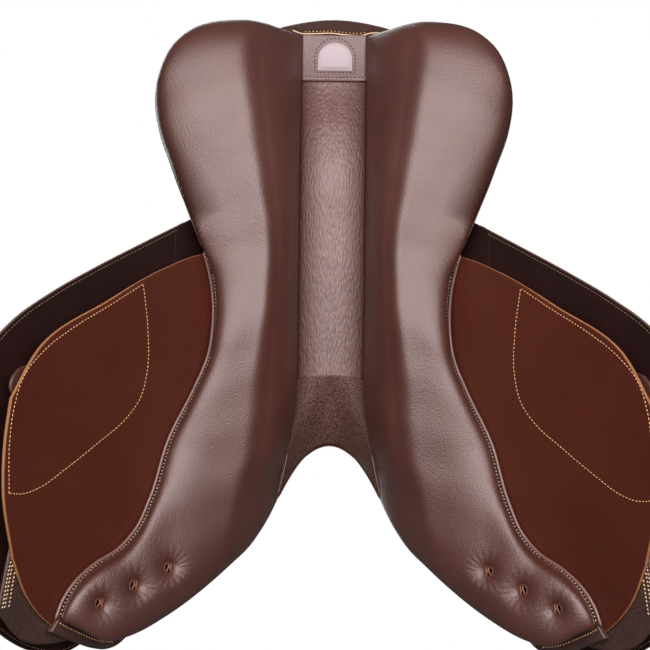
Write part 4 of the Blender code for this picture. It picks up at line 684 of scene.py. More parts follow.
tuft = {  # each level gives a radius and a height in mm
    "lip": [(6.6, -3.0), (5.6, -1.2), (4.7, -0.35), (4.1, -0.25), (3.7, -0.7), (3.3, -1.7), (3.0, -2.8)],
    "well": [(3.0, -1.8), (2.2, -2.6), (0.1, -2.8)], "sides": 36,
    "oval": 1.15, "sink": 0.0056, "threadRadius": 0.00070, "threads": [(-0.45, 0.55), (0.30, -0.35), (0.85, 0.20)],
    "threadHalf": 0.0044, "threadApart": 0.0022, "threadSag": 0.0008, "threadSink": 0.0004,
}
for number, (row, column) in enumerate(tuftSpots):  # a rolled lip and a shallow well in each dimple, the well painted near-black as the shade of a hole, with short threads across it
    up = normals[row, column]
    centre = surface[row, column] - up * tuft["sink"]
    sideways = np.cross([0.0, 1.0, 0.0], up)
    sideways /= np.linalg.norm(sideways)
    ahead = np.cross(up, sideways)
    turns = turnsOf(tuft["sides"])
    ring = ahead * np.cos(turns)[:, None] * tuft["oval"] + sideways * np.sin(turns)[:, None]
    for side, word in sides:
        ride = ("panel_leather", "saddle", side)
        for key, look in (("lip", "tuftLip"), ("well", "holeShade")):
            rings = np.stack([centre + ring * radius / 1000 + up * height / 1000 for radius, height in tuft[key]])
            faces = gridFaces(len(rings), tuft["sides"], False, True)
            corners = (rings.reshape(-1, 3) * [side, 1, 1])[faces[0]]
            flip = np.dot(np.cross(corners[1] - corners[0], corners[3] - corners[0]), up * [side, 1, 1]) < 0
            makeMesh(f"tuft_{key}_{number}_{word}", rings, faces, look, *ride, flip)
        for k, (place, slant) in enumerate(tuft["threads"]):
            reach = np.linspace(-1, 1, 9)[:, None]
            way = ahead + slant * sideways
            path = centre + sideways * place * tuft["threadApart"]
            path = path + way / np.linalg.norm(way) * reach * tuft["threadHalf"]
            path = path - up * (tuft["threadSag"] * reach**2 + tuft["threadSink"])
            tubeAlong(f"tuft_thread_{number}_{k}_{word}", path, up, tuft["threadRadius"], "tuft", *ride, 8)
print("welts, stitches and tufts ready")

lining = {
    "drop": 0.0035, "thick": 0.0020, "seamY": -0.0500, "bow": 0.0045, "rearY": 0.2955, "crown": 0.0070,
    "flatCrown": 0.0010, "flatY": (0.195, 0.246), "wider": 0.0006, "lap": 0.0040, "rims": (0.0, 0.6, 0.92),
}


def gulletSheet(name, across, y, height, thick, look, node, crown=0.0):
    # a leather sheet across the gullet with rolled rims; crown bellies it out towards the horse
    low = np.stack([across, y, height], -1)
    grownU, grownV = (np.ones(count) for count in across.shape)
    for grown in (grownU, grownV):
        grown[:3] = grown[-3:][::-1] = lining["rims"]
    grown = (grownU[:, None] * grownV[None, :])[..., None]
    middle = np.array([0, 0, thick / 2])
    belly = np.linspace(-1, 1, across.shape[1])[None, :] ** 2
    down = low + middle - middle * grown - np.array([0, 0, 1]) * (crown * (1 - belly))[..., None]
    fromSide = np.minimum(across - across.min(axis=1)[:, None], across.max(axis=1)[:, None] - across)
    piece = closedPair(name, down, low + middle + middle * grown, look, "lining_leather", edge=fromSide)
    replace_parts(piece, node)


def liningCrown(y):
    # how far the gullet lining bellies out, flat under the tab
    return between((lining["flatCrown"], lining["crown"]), 1 - ease(y, *lining["flatY"]))


def rimmed(start, end, count, rim=0.0008):
    # evenly spread values with two extra ones close to each end, for the rolled rims
    turn = rim * np.sign(end - start)
    inner = np.linspace(start + 2 * turn, end - 2 * turn, count)
    return np.concatenate([[start, start + 0.35 * turn, start + turn], inner, [end - turn, end - 0.35 * turn, end]])


halfWidth = under["gulletHalf"] + lining["wider"]
share, across = np.meshgrid(rimmed(0.0, 1.0, 150, 0.002), np.linspace(-1, 1, 41), indexing="ij")
x = across * halfWidth
y = lining["rearY"] + (lining["seamY"] - lining["lap"] - lining["bow"] * across**2 - lining["rearY"]) * share
height = frameHeight(x, y) - lining["drop"]
gulletSheet("gullet_lining_leather", x, y, height, lining["thick"], "lining", "gullet_lining", liningCrown(y))

arch = {
    "apexY": -0.121, "apexZ": 0.095, "lean": 0.77, "curve": 25.0, "footX": 0.0505, "tuck": 0.0030, "below": 0.0014,
    "stitch": {"pitch": 0.0034, "length": 0.0025, "radius": 0.00028}, "rimRadius": 0.0011, "later": 1.6,
}
shares = np.concatenate([[0, 0.006, 0.016], np.linspace(0.03, 0.97, 60), [0.98, 0.993, 1]])
share, across = np.meshgrid(shares, np.linspace(-1, 1, 61), indexing="ij")
rearY = lining["seamY"] - lining["bow"] * across**2
frontX = across * arch["footX"]
frontY = arch["apexY"] - arch["lean"] * arch["curve"] * frontX**2
y = rearY + (frontY - rearY) * share
tucked = np.maximum(gulletHalfWidth(y[:, -1:]) + arch["tuck"] * (1 - share[:, -1:]), halfWidth)
x = across * (tucked * (1 - share**3) + arch["footX"] * share**3)
rearZ = frameHeight(x, rearY) - lining["drop"] - lining["crown"] * (1 - across**2) - arch["below"]
frontZ = arch["apexZ"] - arch["curve"] * frontX**2
blend = share ** (1 + arch["later"] * across**2)
z = rearZ * (1 - blend) + frontZ * blend
gulletSheet("head_lining_leather", x, y, z, lining["thick"], "head", "head_lining")
seamPath, rimPath = (np.stack([x[row], y[row], z[row]], -1) for row in (6, -1))
stitchRow("head_lining_stitches", seamPath, downwards, arch["stitch"], "tuft", "lining_leather")
rimPath = rimPath + np.array([0, 0, lining["thick"] / 2])
tubeAlong("arch_rim", rimPath, forwards, arch["rimRadius"], "head", "lining_leather")

turnedEdge = {"radius": 0.0008, "drop": 0.0012, "shares": (0.62, 0.97), "out": 0.0003}
for side, word in sides:  # the panel leather's turned edge beside the arch
    first, last = turnedEdge["shares"]
    spots = np.flatnonzero((share[:, 0] > first) & (share[:, 0] < last))
    edgeX = gulletHalfWidth(y[spots, -1]) + turnedEdge["out"]
    edgeZ = np.array([np.interp(a, x[k], z[k]) for a, k in zip(edgeX, spots)]) - turnedEdge["drop"]
    line = np.stack([edgeX, y[spots, -1], edgeZ], 1)
    tubeAlong("arch_turned_edge_" + word, line, downwards, turnedEdge["radius"], "tab", "panel_leather", "saddle", side)

facingStrip = {
    "fromY": -0.112, "toY": -0.152, "drop": 0.0085, "thick": 0.0016, "in": 0.0010, "roll": 0.0016, "rise": 0.0004,
    "least": 0.35, "edge": 0.0004,
}
for side, word in sides:  # the leather strip that turns over each panel's inner edge beside the arch
    t, v = np.meshgrid(np.linspace(0, 1, 40), np.linspace(0, 1, 12), indexing="ij")
    y = facingStrip["fromY"] + (facingStrip["toY"] - facingStrip["fromY"]) * t
    x = gulletHalfWidth(y) - facingStrip["in"] + facingStrip["roll"] * np.cos(v * math.pi) ** 2
    deep = facingStrip["least"] + (1 - facingStrip["least"]) * ease(t, 0.0, 0.5)
    z = frameHeight(gulletHalfWidth(y), y) - facingStrip["rise"] - facingStrip["drop"] * v * deep
    inner = np.stack([x - facingStrip["thick"] * np.sin(v * math.pi) ** 0.5, y, z], -1)
    outerFace = np.stack([x + facingStrip["edge"], y, z], -1)
    closedPair("arch_facing_" + word, inner, outerFace, "tab", "lining_leather", "saddle", side)

tab = {
    "frontY": 0.2495, "rearY": 0.2985, "thick": 0.0022, "stitchHalf": 0.0207, "stitchY": (0.2588, 0.2948),
    "fold": 0.0016, "foldDepth": 0.0010, "grooveDepth": 0.0006, "grooveWidth": 0.0006, "middleX": -0.0010,
    "wider": 0.0004, "below": 0.0006,
    "crown": 0.0008, "edgeHalf": 0.031, "edgeIn": 0.0040, "stitchLift": 0.0001, "foldFrom": 0.7, "grooveAt": 1.1,
    "stitch": {"pitch": 0.0038, "length": 0.0019, "radius": 0.00062},
}
y, across = np.meshgrid(rimmed(tab["frontY"], tab["rearY"], 60), np.linspace(-1, 1, 61), indexing="ij")
x = across * (under["gulletHalf"] + tab["wider"])
height = frameHeight(x, y) - lining["drop"] - tab["below"] - tab["thick"]
fold = tab["foldDepth"] * (1 - ease(y, tab["frontY"] + tab["fold"] * tab["foldFrom"], tab["frontY"] + tab["fold"]))
fromGroove = y - tab["frontY"] - tab["fold"] * tab["grooveAt"]
groove = tab["grooveDepth"] * np.exp(-((fromGroove / tab["grooveWidth"]) ** 2))
gulletSheet("gullet_tab_leather", x, y, height - fold + groove, tab["thick"], "tab", "gullet_tab", tab["crown"])


def underTab(plan, offset):
    # points of a plan path laid under the tab
    x, y = plan[:, 0], plan[:, 1]
    crown = tab["crown"] * (1 - (x / under["gulletHalf"]) ** 2)
    return np.stack([x, y, frameHeight(x, y) - lining["drop"] - tab["below"] - tab["thick"] - crown - offset], -1)


(lowY, highY), half = tab["stitchY"], tab["stitchHalf"]
line = [(half, lowY), (half, highY - half)]
line += [(half * math.cos(a), highY - half + half * math.sin(a)) for a in np.linspace(0, math.pi, 40)]
line = np.array(line + [(-half, highY - half), (-half, lowY), (half, lowY)]) + [tab["middleX"], 0]
path = underTab(evenly(line, 0.001), tab["stitchLift"])
stitchRow("tab_stitches", path, downwards, tab["stitch"], "darkThread", "lining_leather")
edge = np.stack([np.linspace(-tab["edgeHalf"], tab["edgeHalf"], 80), np.full(80, tab["frontY"] + tab["edgeIn"])], 1)
path = underTab(edge, tab["stitchLift"])
stitchRow("tab_edge_stitches", path, downwards, tab["stitch"], "darkThread", "lining_leather")
rearSeam = {  # the wavy turned edge between the lobes, behind the tab
    "line": [(0.0430, 0.3030), (0.0344, 0.3000), (0.0200, 0.2998), (0.0035, 0.3004), (-0.0161, 0.2986),
             (-0.0295, 0.2988), (-0.0365, 0.3008), (-0.0460, 0.3017)],
    "radius": 0.0007, "stitchBehind": 0.0028, "stripBehind": 0.0050, "climb": 0.9, "height": 0.1015,
    "stripLift": 0.0006, "stripThick": 0.0012, "points": 120, "stitchSkip": 16,
}
plan = smoothCurve(rearSeam["line"], np.linspace(0, 1, rearSeam["points"]))
path = np.concatenate([plan, np.full((rearSeam["points"], 1), rearSeam["height"])], 1)
tubeAlong("rear_seam_edge", path, downwards, rearSeam["radius"], "cream", "lining_leather")
behind = np.array([0, 1, rearSeam["climb"]])
line = (path + behind * rearSeam["stitchBehind"])[rearSeam["stitchSkip"]:-rearSeam["stitchSkip"]]
stitchRow("rear_seam_stitches", line, downwards, tab["stitch"], "gold", "lining_leather")
depth = np.linspace(0, rearSeam["stripBehind"], 8)[None, :, None]
strip = path[:, None] + behind * depth + np.array([0, 0, rearSeam["stripLift"]])
closedPair("rear_seam_strip", strip, strip + np.array([0, 0, rearSeam["stripThick"]]), "facing", "lining_leather")

badge = {
    "width": 0.0355, "length": 0.030, "middleX": -0.0010, "middleY": 0.2755, "thick": 0.0012, "sink": 0.0002,
    "middle": 0.87,
    # inset in mm and share of the thickness
    "levels": [(0.0, 0.0), (0.0, 0.6), (0.25, 0.9), (0.7, 1.0), (1.6, 1.0), (1.9, 0.86), (6.0, 0.84), (12.0, 0.86)],
}
radius = badge["width"] / 2
frontY = badge["middleY"] - badge["length"] / 2
middleY = frontY + (badge["length"] - radius)
outline = [(radius * math.cos(a), middleY + radius * math.sin(a)) for a in np.linspace(0, math.pi, 49)]
outline = np.array([(-radius, frontY), (radius, frontY)] + outline)
outline = evenly(np.concatenate([outline, outline[:1]]), 0.0006) + [badge["middleX"], 0]
centre = np.array([badge["middleX"], badge["middleY"]])
rings = [underTab(centre + (outline - centre) * (1 - inset / 1000 / radius), badge["thick"] * share - badge["sink"])
         for inset, share in badge["levels"]]
middle = underTab(centre[None], badge["thick"] * badge["middle"] - badge["sink"])
rings.append(np.broadcast_to(middle, rings[0].shape))
faces = gridFaces(len(rings), len(outline), False, True)
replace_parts(makeMesh("badge_plate_face", np.concatenate(rings), faces, "badge", "badge_plate"), "badge_plate")
print("linings, tab and badge ready")

sweat = {
    "rear": [(-0.010, 0.069), (0.016, 0.067), (0.060, 0.052), (0.125, 0.020), (0.200, -0.021), (0.232, -0.065)],
    "low": [(0.228, -0.199), (0.239, -0.145), (0.238, -0.100), (0.232, -0.065)],
    "front": [(-0.010, -0.180), (0.020, -0.204), (0.060, -0.237), (0.100, -0.272), (0.125, -0.285), (0.146, -0.283),
              (0.168, -0.275), (0.190, -0.260), (0.212, -0.235), (0.228, -0.199)],
    "top": [(-0.010, -0.180), (-0.010, -0.060), (-0.010, 0.069)], "thick": 0.0040,
    "patch": [(0.086, 0.036), (0.080, -0.006), (0.080, -0.044), (0.088, -0.070), (0.104, -0.088), (0.135, -0.108),
              (0.172, -0.129), (0.202, -0.143), (0.220, -0.146), (0.234, -0.144)],
    "patchRear": [(0.086, 0.036), (0.123, 0.016), (0.163, -0.004), (0.196, -0.024), (0.219, -0.046), (0.229, -0.070),
                  (0.234, -0.100), (0.234, -0.144)],
    "stitch": {"pitch": 0.0036, "length": 0.0027, "radius": 0.00045}, "stitchLift": 0.0001, "rim": 0.0016,
    "facingInner": [(0.0940, -0.2765), (0.1090, -0.2842), (0.131, -0.2780), (0.156, -0.2680), (0.180, -0.2575)],
    "facingOuter": [(0.0940, -0.2785), (0.1030, -0.2880), (0.113, -0.2940), (0.124, -0.2957), (0.140, -0.2920),
                    (0.157, -0.2845), (0.173, -0.2765), (0.189, -0.2685)],
    "facingNear": -0.0033, "facingFar": 0.0044,
    "facingStitches": [(0.118, -0.2900), (0.134, -0.2860), (0.1570, -0.2750), (0.1680, -0.2690), (0.1790, -0.2625)],
    "frontCord": [(0.138, -0.2800), (0.1175, -0.2868), (0.106, -0.2885)], "cordRadius": 0.0017, "cordOffset": -0.0022,
    "cutShare": (1.25, 2.5), "cutY": (0.020, 0.040),
}


def cutEdge(plan):
    # the golden cut edge is broad along the low end and narrow towards the panel
    return between(sweat["cutShare"], ease(plan[..., 1], *sweat["cutY"]))


for side, word in sides:
    borders = (sweat["front"], sweat["rear"], sweat["top"], sweat["low"])
    piece = leatherSheet("sweat_flap_leather_" + word, borders, "sweat", "flap_leather", 0.0, sweat["thick"], side,
                         counts=(120, 90), rim=sweat["rim"], edgeScale=cutEdge)
    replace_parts(piece, "sweat_flap_" + word)
    for key in ("patch", "patchRear"):
        path, up = flapPath(sweat[key], sweat["stitchLift"])
        stitchRow(f"{key}_stitches_{word}", path, -up, sweat["stitch"], "gold", "flap_leather", "saddle", side)
    # the dark facing folds round the flap's front edge; a tan cord runs under the panel's front
    inner, outerLine = sweat["facingInner"], sweat["facingOuter"]
    borders = (inner, outerLine, [inner[0], outerLine[0]], [inner[-1], outerLine[-1]])
    piece = leatherSheet("front_facing_leather_" + word, borders, "facing", "panel_leather", sweat["facingNear"],
                         sweat["facingFar"], side, counts=(80, 20), rim=sweat["rim"])
    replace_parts(piece, "front_facing_" + word)
    ride = ("panel_leather", "saddle", side)
    path, up = flapPath(sweat["facingStitches"], sweat["facingNear"])
    stitchRow("front_facing_stitches_" + word, path, -up, welt["stitch"], "gold", *ride)
    path, up = flapPath(sweat["frontCord"], sweat["cordOffset"], count=60)
    tubeAlong("panel_front_cord_" + word, path, -up, sweat["cordRadius"], "tan", *ride)
print("sweat flaps ready")

outer = {
    "rear": [(0.001, 0.0950), (0.0385, 0.0770), (0.0955, 0.0495), (0.140, 0.0265), (0.179, 0.0020), (0.203, -0.0210),
             (0.215, -0.040)],
    "low": [(0.225, -0.230), (0.248, -0.185), (0.254, -0.130), (0.243, -0.080), (0.215, -0.040)],
    "front": [(0.001, -0.205), (0.030, -0.232), (0.060, -0.262), (0.095, -0.287), (0.125, -0.297), (0.160, -0.288),
              (0.195, -0.264), (0.225, -0.230)],
    "top": [(0.001, -0.205), (0.001, 0.0950)], "half": 0.00225, "rim": 0.0012,
    "rootTop": [(-0.030, -0.160), (-0.024, -0.132), (-0.012, -0.120), (-0.012, -0.050), (-0.012, 0.040),
                (-0.026, 0.054), (-0.0335, 0.066), (-0.0335, 0.111)],
    "rootLow": [(0.034, -0.203), (0.034, -0.100), (0.034, 0.000), (0.034, 0.0957)],
    "rootRear": [(-0.0335, 0.111), (-0.005, 0.1095), (0.019, 0.1025), (0.034, 0.0957)],
    "stitch": {"pitch": 0.0034, "length": 0.0026, "radius": 0.00036}, "inset": 0.0036, "centre": (0.1, -0.1),
}
bend = {  # the sheet over the crease; its ends lie a little off the root's and the flap's, in metres along y
    "before": 0.0060, "after": 0.0070, "frontY": (-0.1980, -0.2070), "rearY": (0.0982, 0.0920),
    "thicker": 0.00012, "rim": 0.0003, "blend": 0.004, "blendEnds": (-0.004, 0.005),
}


def insetBorder(points, distance, centre):
    # the border curve moved towards the sheet's centre
    line = smoothCurve(points, np.linspace(0, 1, 200))
    ahead = unit(np.gradient(line, axis=0))
    away = np.stack([ahead[:, 1], -ahead[:, 0]], 1)
    away *= np.sign(np.sum(away * (np.array(centre) - line), axis=1))[:, None]
    return line + away * distance


def overHinge(s, y, offset):
    # points of one sheet from the root on to the flap; s is counted down from the hinge line
    before = onFlap(hinge["s"] + np.minimum(s, 0), y, hinge["offset"] + offset)
    after = onOuterFlap(np.maximum(s, 0), y, offset)
    t = ease(s, -bend["blend"], bend["blend"])[..., None]
    return before * (1 - t) + after * t


for side, word in sides:
    half, centre = outer["half"], outer["centre"]
    borders = (outer["front"], outer["rear"], outer["top"], outer["low"])
    body = "outer_flap_" + word
    piece = leatherSheet("outer_flap_leather_" + word, borders, "flapInner", "dark_flap_leather", -half, half, side, body,
                         onOuterFlap, (120, 90), outer["rim"])
    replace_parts(piece, "flap_" + word)
    borders = (outer["rootTop"], outer["rootLow"], [outer["rootTop"][0], outer["rootLow"][0]], outer["rootRear"])
    near, far = hinge["offset"] - half, hinge["offset"] + half
    piece = leatherSheet("flap_root_leather_" + word, borders, "flapRoot", "dark_flap_leather", near, far, side,
                         counts=(150, 24), rim=outer["rim"])
    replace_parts(piece, "flap_root_" + word)
    rounds = (outer["rear"], outer["low"][::-1], outer["front"][::-1])
    edge = [insetBorder(line, outer["inset"], centre) for line in rounds]
    edge = np.concatenate([edge[0][4:], edge[1][1:], edge[2][1:-4]])
    for name, offset, look in (("inner", -half, "dimThread"), ("outer", half, "darkThread")):
        path = onOuterFlap(edge[:, 0], edge[:, 1], offset)
        up = onOuterFlap(edge[:, 0], edge[:, 1], offset * 3) - path
        name = f"outer_flap_{name}_stitches_{word}"
        stitchRow(name, path, up, outer["stitch"], look, "dark_flap_leather", body, side)
    reach = (-bend["before"], bend["after"])
    a, b, c, d = [*zip(reach, bend["frontY"]), *zip(reach, bend["rearY"])]
    near, far = -half - bend["thicker"], half + bend["thicker"]
    piece = leatherSheet("flap_bend_leather_" + word, ([a, b], [c, d], [a, c], [b, d]), "flapRoot", "dark_flap_leather",
                         near, far, side, None, overHinge, (24, 120), bend["rim"])
    start, end = overHinge(np.array(bend["blendEnds"]), 0.0, 0.0) * np.array([side, 1, 1])
    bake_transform(piece)
print("outer flaps ready")

# the seat's plan and the tree's surfaces, as in the frame
seat = {
    "half": 0.088, "rearHalf": 0.128, "frontY": -0.099, "cutBack": 0.027, "flareY": 0.108, "flareFrom": 0.060,
    "rearY": 0.322, "cornerY": 0.250, "cornerBefore": 0.038,
    "headRise": 0.0245, "archRoom": 0.006, "headHalf": 0.085, "headY": (-0.105, 0.030),
    "cantleRise": 0.038, "cantleY": 0.190, "lift": 0.001, "treeThick": 0.012, "stack": 0.0005,
    "foamLift": 0.0055, "foamEdge": 0.0105, "foamMiddle": 0.019, "coverThick": 0.0025, "overhang": 0.0034, "gap": 0.0004,
}


def treeTop(x, y):
    # the underframe raised into the pommel's arch at the front and up the cantle at the rear
    x = np.abs(np.asarray(x, float))
    bow = np.clip(1 - (x / seat["headHalf"]) ** 2, 0.0, 1.0) ** 2
    head = (seat["headRise"] * bow + seat["archRoom"]) * (1 - ease(y, *seat["headY"]))
    cantle = seat["cantleRise"] * ease(y, seat["cantleY"], seat["rearY"]) * (1 - (x / under["lobeHalf"]) ** 2)
    return frameHeight(x, y) + seat["lift"] + head + cantle + seat["treeThick"]


def seatGrid(overhang, u, v):
    # the seat's plan grown by the overhang: side, flare, corner and rear curve
    half, rearHalf = seat["half"] + overhang, seat["rearHalf"] + overhang
    frontY = seat["frontY"] - overhang
    shoulderY, rearY, flare = frontY - seat["cutBack"], seat["rearY"] + overhang, rearHalf - half
    flareY, cornerY = seat["flareY"], seat["cornerY"]
    side = [(half, shoulderY), (half, flareY - seat["flareFrom"]), (half, flareY), (half + 0.45 * flare, flareY + 0.052),
            (half + 0.95 * flare, cornerY - seat["cornerBefore"]), (half + 0.85 * flare, cornerY)]
    edge = [side[-1], (0.80 * seat["rearHalf"] + overhang, seat["rearY"] - 0.036 + overhang),
            (0.48 * seat["rearHalf"], rearY - 0.013), (0.0, rearY)]
    rear = [(-x, y) for x, y in edge] + edge[2::-1]
    betweenY = frontY - seat["cutBack"] / 3
    front = [(-half, shoulderY), (-half / 2, betweenY), (0.0, frontY), (half / 2, betweenY), (half, shoulderY)]
    return fourSided([(-x, y) for x, y in side], side, front, rear, u, v)


def foamDepth(u, v):
    a, b = 2 * np.asarray(u)[..., None] - 1, 2 * np.asarray(v)[None, :] - 1
    return seat["foamEdge"] + (seat["foamMiddle"] - seat["foamEdge"]) * (1 - a**8) * (1 - b**4)


def sampled(grid, u, v, wanted):
    # a grid of points read at (u, v) pairs between its rows and columns
    i = np.interp(wanted[:, 0], u, np.arange(len(u)))
    j = np.interp(wanted[:, 1], v, np.arange(len(v)))
    a, b = np.floor(i).astype(int).clip(0, len(u) - 2), np.floor(j).astype(int).clip(0, len(v) - 2)
    s, t = (i - a)[:, None], (j - b)[:, None]
    return (1 - s) * ((1 - t) * grid[a, b] + t * grid[a, b + 1]) + s * ((1 - t) * grid[a + 1, b] + t * grid[a + 1, b + 1])


def fullness(t, power=0.3):
    # 0 at both ends and near 1 between them
    return np.sin(math.pi * t) ** power


def foamEdgeOver(plan):
    return treeTop(plan[:, 0], plan[:, 1]) + seat["foamLift"] + seat["foamEdge"]


cover = {
    "weltRadius": 0.0013, "stitchInset": 0.0040, "stitch": {"pitch": 0.0036, "length": 0.0028, "radius": 0.00030},
    "weltLine": [(0.015, 0.90), (0.20, 0.90), (0.50, 0.91), (0.74, 0.89), (0.90, 0.80), (0.945, 0.65), (0.955, 0.50)],
    "rims": (0.0022, 0.0050), "grooveDepth": 0.0010, "grooveWidth": 0.0030, "wave": 0.0003, "lowShare": 0.45,
    "lift": 0.0004, "middleY": 0.08, "waves": (120, 60), "waveInside": 0.8,
}
u, growU = rimShares(170, cover["rims"][0])
v, growV = rimShares(120, cover["rims"][1])
plan = seatGrid(seat["overhang"], u, v)
base = treeTop(plan[..., 0], plan[..., 1]) + seat["foamLift"] + foamDepth(u, v) + 2 * seat["stack"]
line = smoothCurve(cover["weltLine"], np.linspace(0, 1, 300))
line = np.concatenate([line, (line * [1, -1] + [0, 1])[-2::-1]])
lineAt = np.concatenate([sampled(plan, u, v, line), np.zeros((len(line), 1))], 1)
fromLine = np.min(np.linalg.norm(plan[:, :, None] - lineAt[None, None, ::6, :2], axis=3), axis=2)
groove = -cover["grooveDepth"] * np.exp(-((fromLine / cover["grooveWidth"]) ** 2))
inside = np.abs(2 * v - 1)[None, :] < cover["waveInside"]
waves = cover["wave"] * np.sin(plan[..., 0] * cover["waves"][0]) * np.sin(plan[..., 1] * cover["waves"][1]) * inside
grown = growU[:, None] * growV[None, :]
thick, share = seat["coverThick"], cover["lowShare"]
low = np.concatenate([plan, (base + thick * share * (1 - grown))[..., None]], -1)
top = np.concatenate([plan, (base + thick * (share + (1 - share) * grown) + groove + waves)[..., None]], -1)
piece = closedPair("seat_cover_leather", low, top, "seat", "seat_leather")
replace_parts(piece, "seat_cover")
lift = np.array([0, 0, cover["lift"]])
path = sampled(top, u, v, line) + lift
tubeAlong("seat_welt", path, upwards, cover["weltRadius"], "darkWelt", "seat_leather")
_, sideways, _ = frames(path, upwards)
inwards = np.sign(np.sum(sideways * (np.array([0, cover["middleY"], 0]) - path), axis=1))[:, None] * sideways
for word, inset in (("inner", 1), ("outer", -1)):
    rowPath = path + inwards * inset * cover["stitchInset"] + lift
    stitchRow(f"seat_stitches_{word}", rowPath, upwards, cover["stitch"], "darkThread", "seat_leather")

cantle = {
    "thick": 0.0024, "lean": 0.80, "panelRearY": 0.296, "weltRadius": 0.0014, "weltLift": 0.0006, "weltOut": 0.6,
    "backEnds": (0.85, 1.0), "backLeft": 0.1, "sinkEnds": (0.4, 1.0), "sinks": 0.8,
}
columnShares = np.linspace(0, 1, 140)
plan = seatGrid(seat["gap"], np.array([0.0, 1.0]), columnShares)[-1]
edge = foamEdgeOver(plan) - seat["stack"]
fold = treeTop(plan[:, 0], plan[:, 1]) - seat["treeThick"] - seat["stack"]
foot = frameHeight(plan[:, 0], np.minimum(plan[:, 1], cantle["panelRearY"])) + cantle["thick"]
footPlan = plan - np.stack([0 * foot, cantle["lean"] * (fold - foot)], -1)
stations = [np.concatenate([p, z[:, None]], 1) for p, z in ((plan, edge), (plan, fold), (footPlan, foot))]
t = np.linspace(0, 1, 40)[:, None, None]
first = stations[0][None] * (1 - np.minimum(t * 2, 1)) + stations[1][None] * np.minimum(t * 2, 1)
inner = first + (stations[2] - stations[1])[None] * np.maximum(t * 2 - 1, 0)
back = between((1.0, cantle["backLeft"]), ease(t, *cantle["backEnds"]))
push = np.concatenate([0 * t, back, -cantle["sinks"] * ease(t, *cantle["sinkEnds"])], 2) * cantle["thick"]
thickness = fullness(t) * fullness(columnShares, 0.2)[None, :, None]
middle, reach = inner + push / 2, push / 2 * thickness
piece = closedPair("cantle_back_leather", middle - reach, middle + reach, "seat", "seat_leather")
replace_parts(piece, "cantle_back")
rimPath = (stations[0] + np.array([0, cantle["thick"] * cantle["weltOut"], cantle["weltLift"]]))[3:-3]
tubeAlong("cantle_welt", rimPath, upwards, cantle["weltRadius"], "darkWelt", "seat_leather")

waist = {"offset": 0.0012, "thick": 0.0014, "fromY": 0.072, "toY": 0.2515, "bulge": 0.0010, "low": 0.0004, "columns": 30}
line = seatGrid(waist["offset"], np.linspace(0, 1, 260), np.array([0.0, 1.0]))[:, 1]
line = line[(line[:, 1] > waist["fromY"]) & (line[:, 1] < waist["toY"])]
upper = foamEdgeOver(line) + seat["stack"]
lower = frameHeight(line[:, 0], line[:, 1]) - waist["low"]
t = np.linspace(0, 1, waist["columns"])[None, :]
ahead = np.gradient(line, axis=0)
away = np.stack([ahead[:, 1], -ahead[:, 0], 0 * ahead[:, 0]], 1) / np.linalg.norm(ahead, axis=1)[:, None]
away *= np.sign(away[:, :1])
flat = [np.broadcast_to(line[:, i:i + 1], (len(line), waist["columns"])) for i in (0, 1)]
inner = np.stack([*flat, upper[:, None] * (1 - t) + lower[:, None] * t], -1)
swell = (fullness(t) * fullness(np.linspace(0, 1, len(line)))[:, None])[..., None]
reach = waist["thick"] * swell + waist["bulge"] * np.sin(math.pi * t)[..., None] * swell
for side, word in sides:  # leather that closes the seat's side down to the panel
    closedPair("waist_facing_" + word, inner, inner + away[:, None] * reach, "seat", "seat_leather", "saddle", side)

face = {"footHalf": 0.030, "gap": 0.0018, "bulge": 0.004, "tuck": 1.6, "weltRadius": 0.0014}
across = np.linspace(-1, 1, 90)
footX = across * face["footHalf"]
footY = arch["apexY"] - arch["lean"] * arch["curve"] * footX**2 - face["gap"] * (1 - face["tuck"] * across**4)
foot = np.stack([footX, footY, arch["apexZ"] - arch["curve"] * footX**2], -1)
rim = seatGrid(seat["overhang"], np.array([0.0, 1.0]), (across + 1) / 2)[0]
edge = foamEdgeOver(rim) + seat["stack"] + seat["coverThick"] / 2
head = np.concatenate([rim - np.array([0, seat["gap"]]), edge[:, None]], 1)
t = np.linspace(0, 1, 40)[:, None, None]
inner = foot[None] * (1 - t) + head[None] * t + forwards * face["bulge"] * np.sin(t * math.pi)
swell = fullness(t) * fullness((across[None, :, None] + 1) / 2, 0.2)
half = forwards * seat["coverThick"] / 2
piece = closedPair("pommel_facing_leather", inner + half - half * swell, inner + half + half * swell, "seat",
                   "seat_leather")
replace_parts(piece, "pommel_facing")
weltPath = head[2:-2] + forwards * face["weltRadius"]
tubeAlong("pommel_welt", weltPath, upwards, face["weltRadius"], "darkWelt", "seat_leather")
print("seat, cantle and pommel ready")

skirt = {
    "front": [(0.0006, -0.134), (0.030, -0.150), (0.056, -0.146)],
    "rear": [(0.0006, 0.095), (0.030, 0.091), (0.052, 0.078)],
    "top": [(0.0006, -0.134), (0.0006, 0.095)],
    "low": [(0.056, -0.146), (0.068, -0.120), (0.070, -0.050), (0.067, 0.040), (0.052, 0.078)],
    "thick": 0.0035, "rim": 0.0014, "inset": 0.005, "centre": (0.030, -0.030),
    "stitch": {"pitch": 0.0036, "length": 0.0028, "radius": 0.00030},
}
block = {"fill": 0.9, "weltAt": 0.6, "weltRadius": 0.0009, "edge": 4, "rows": 90, "columns": 60, "even": 0.5}


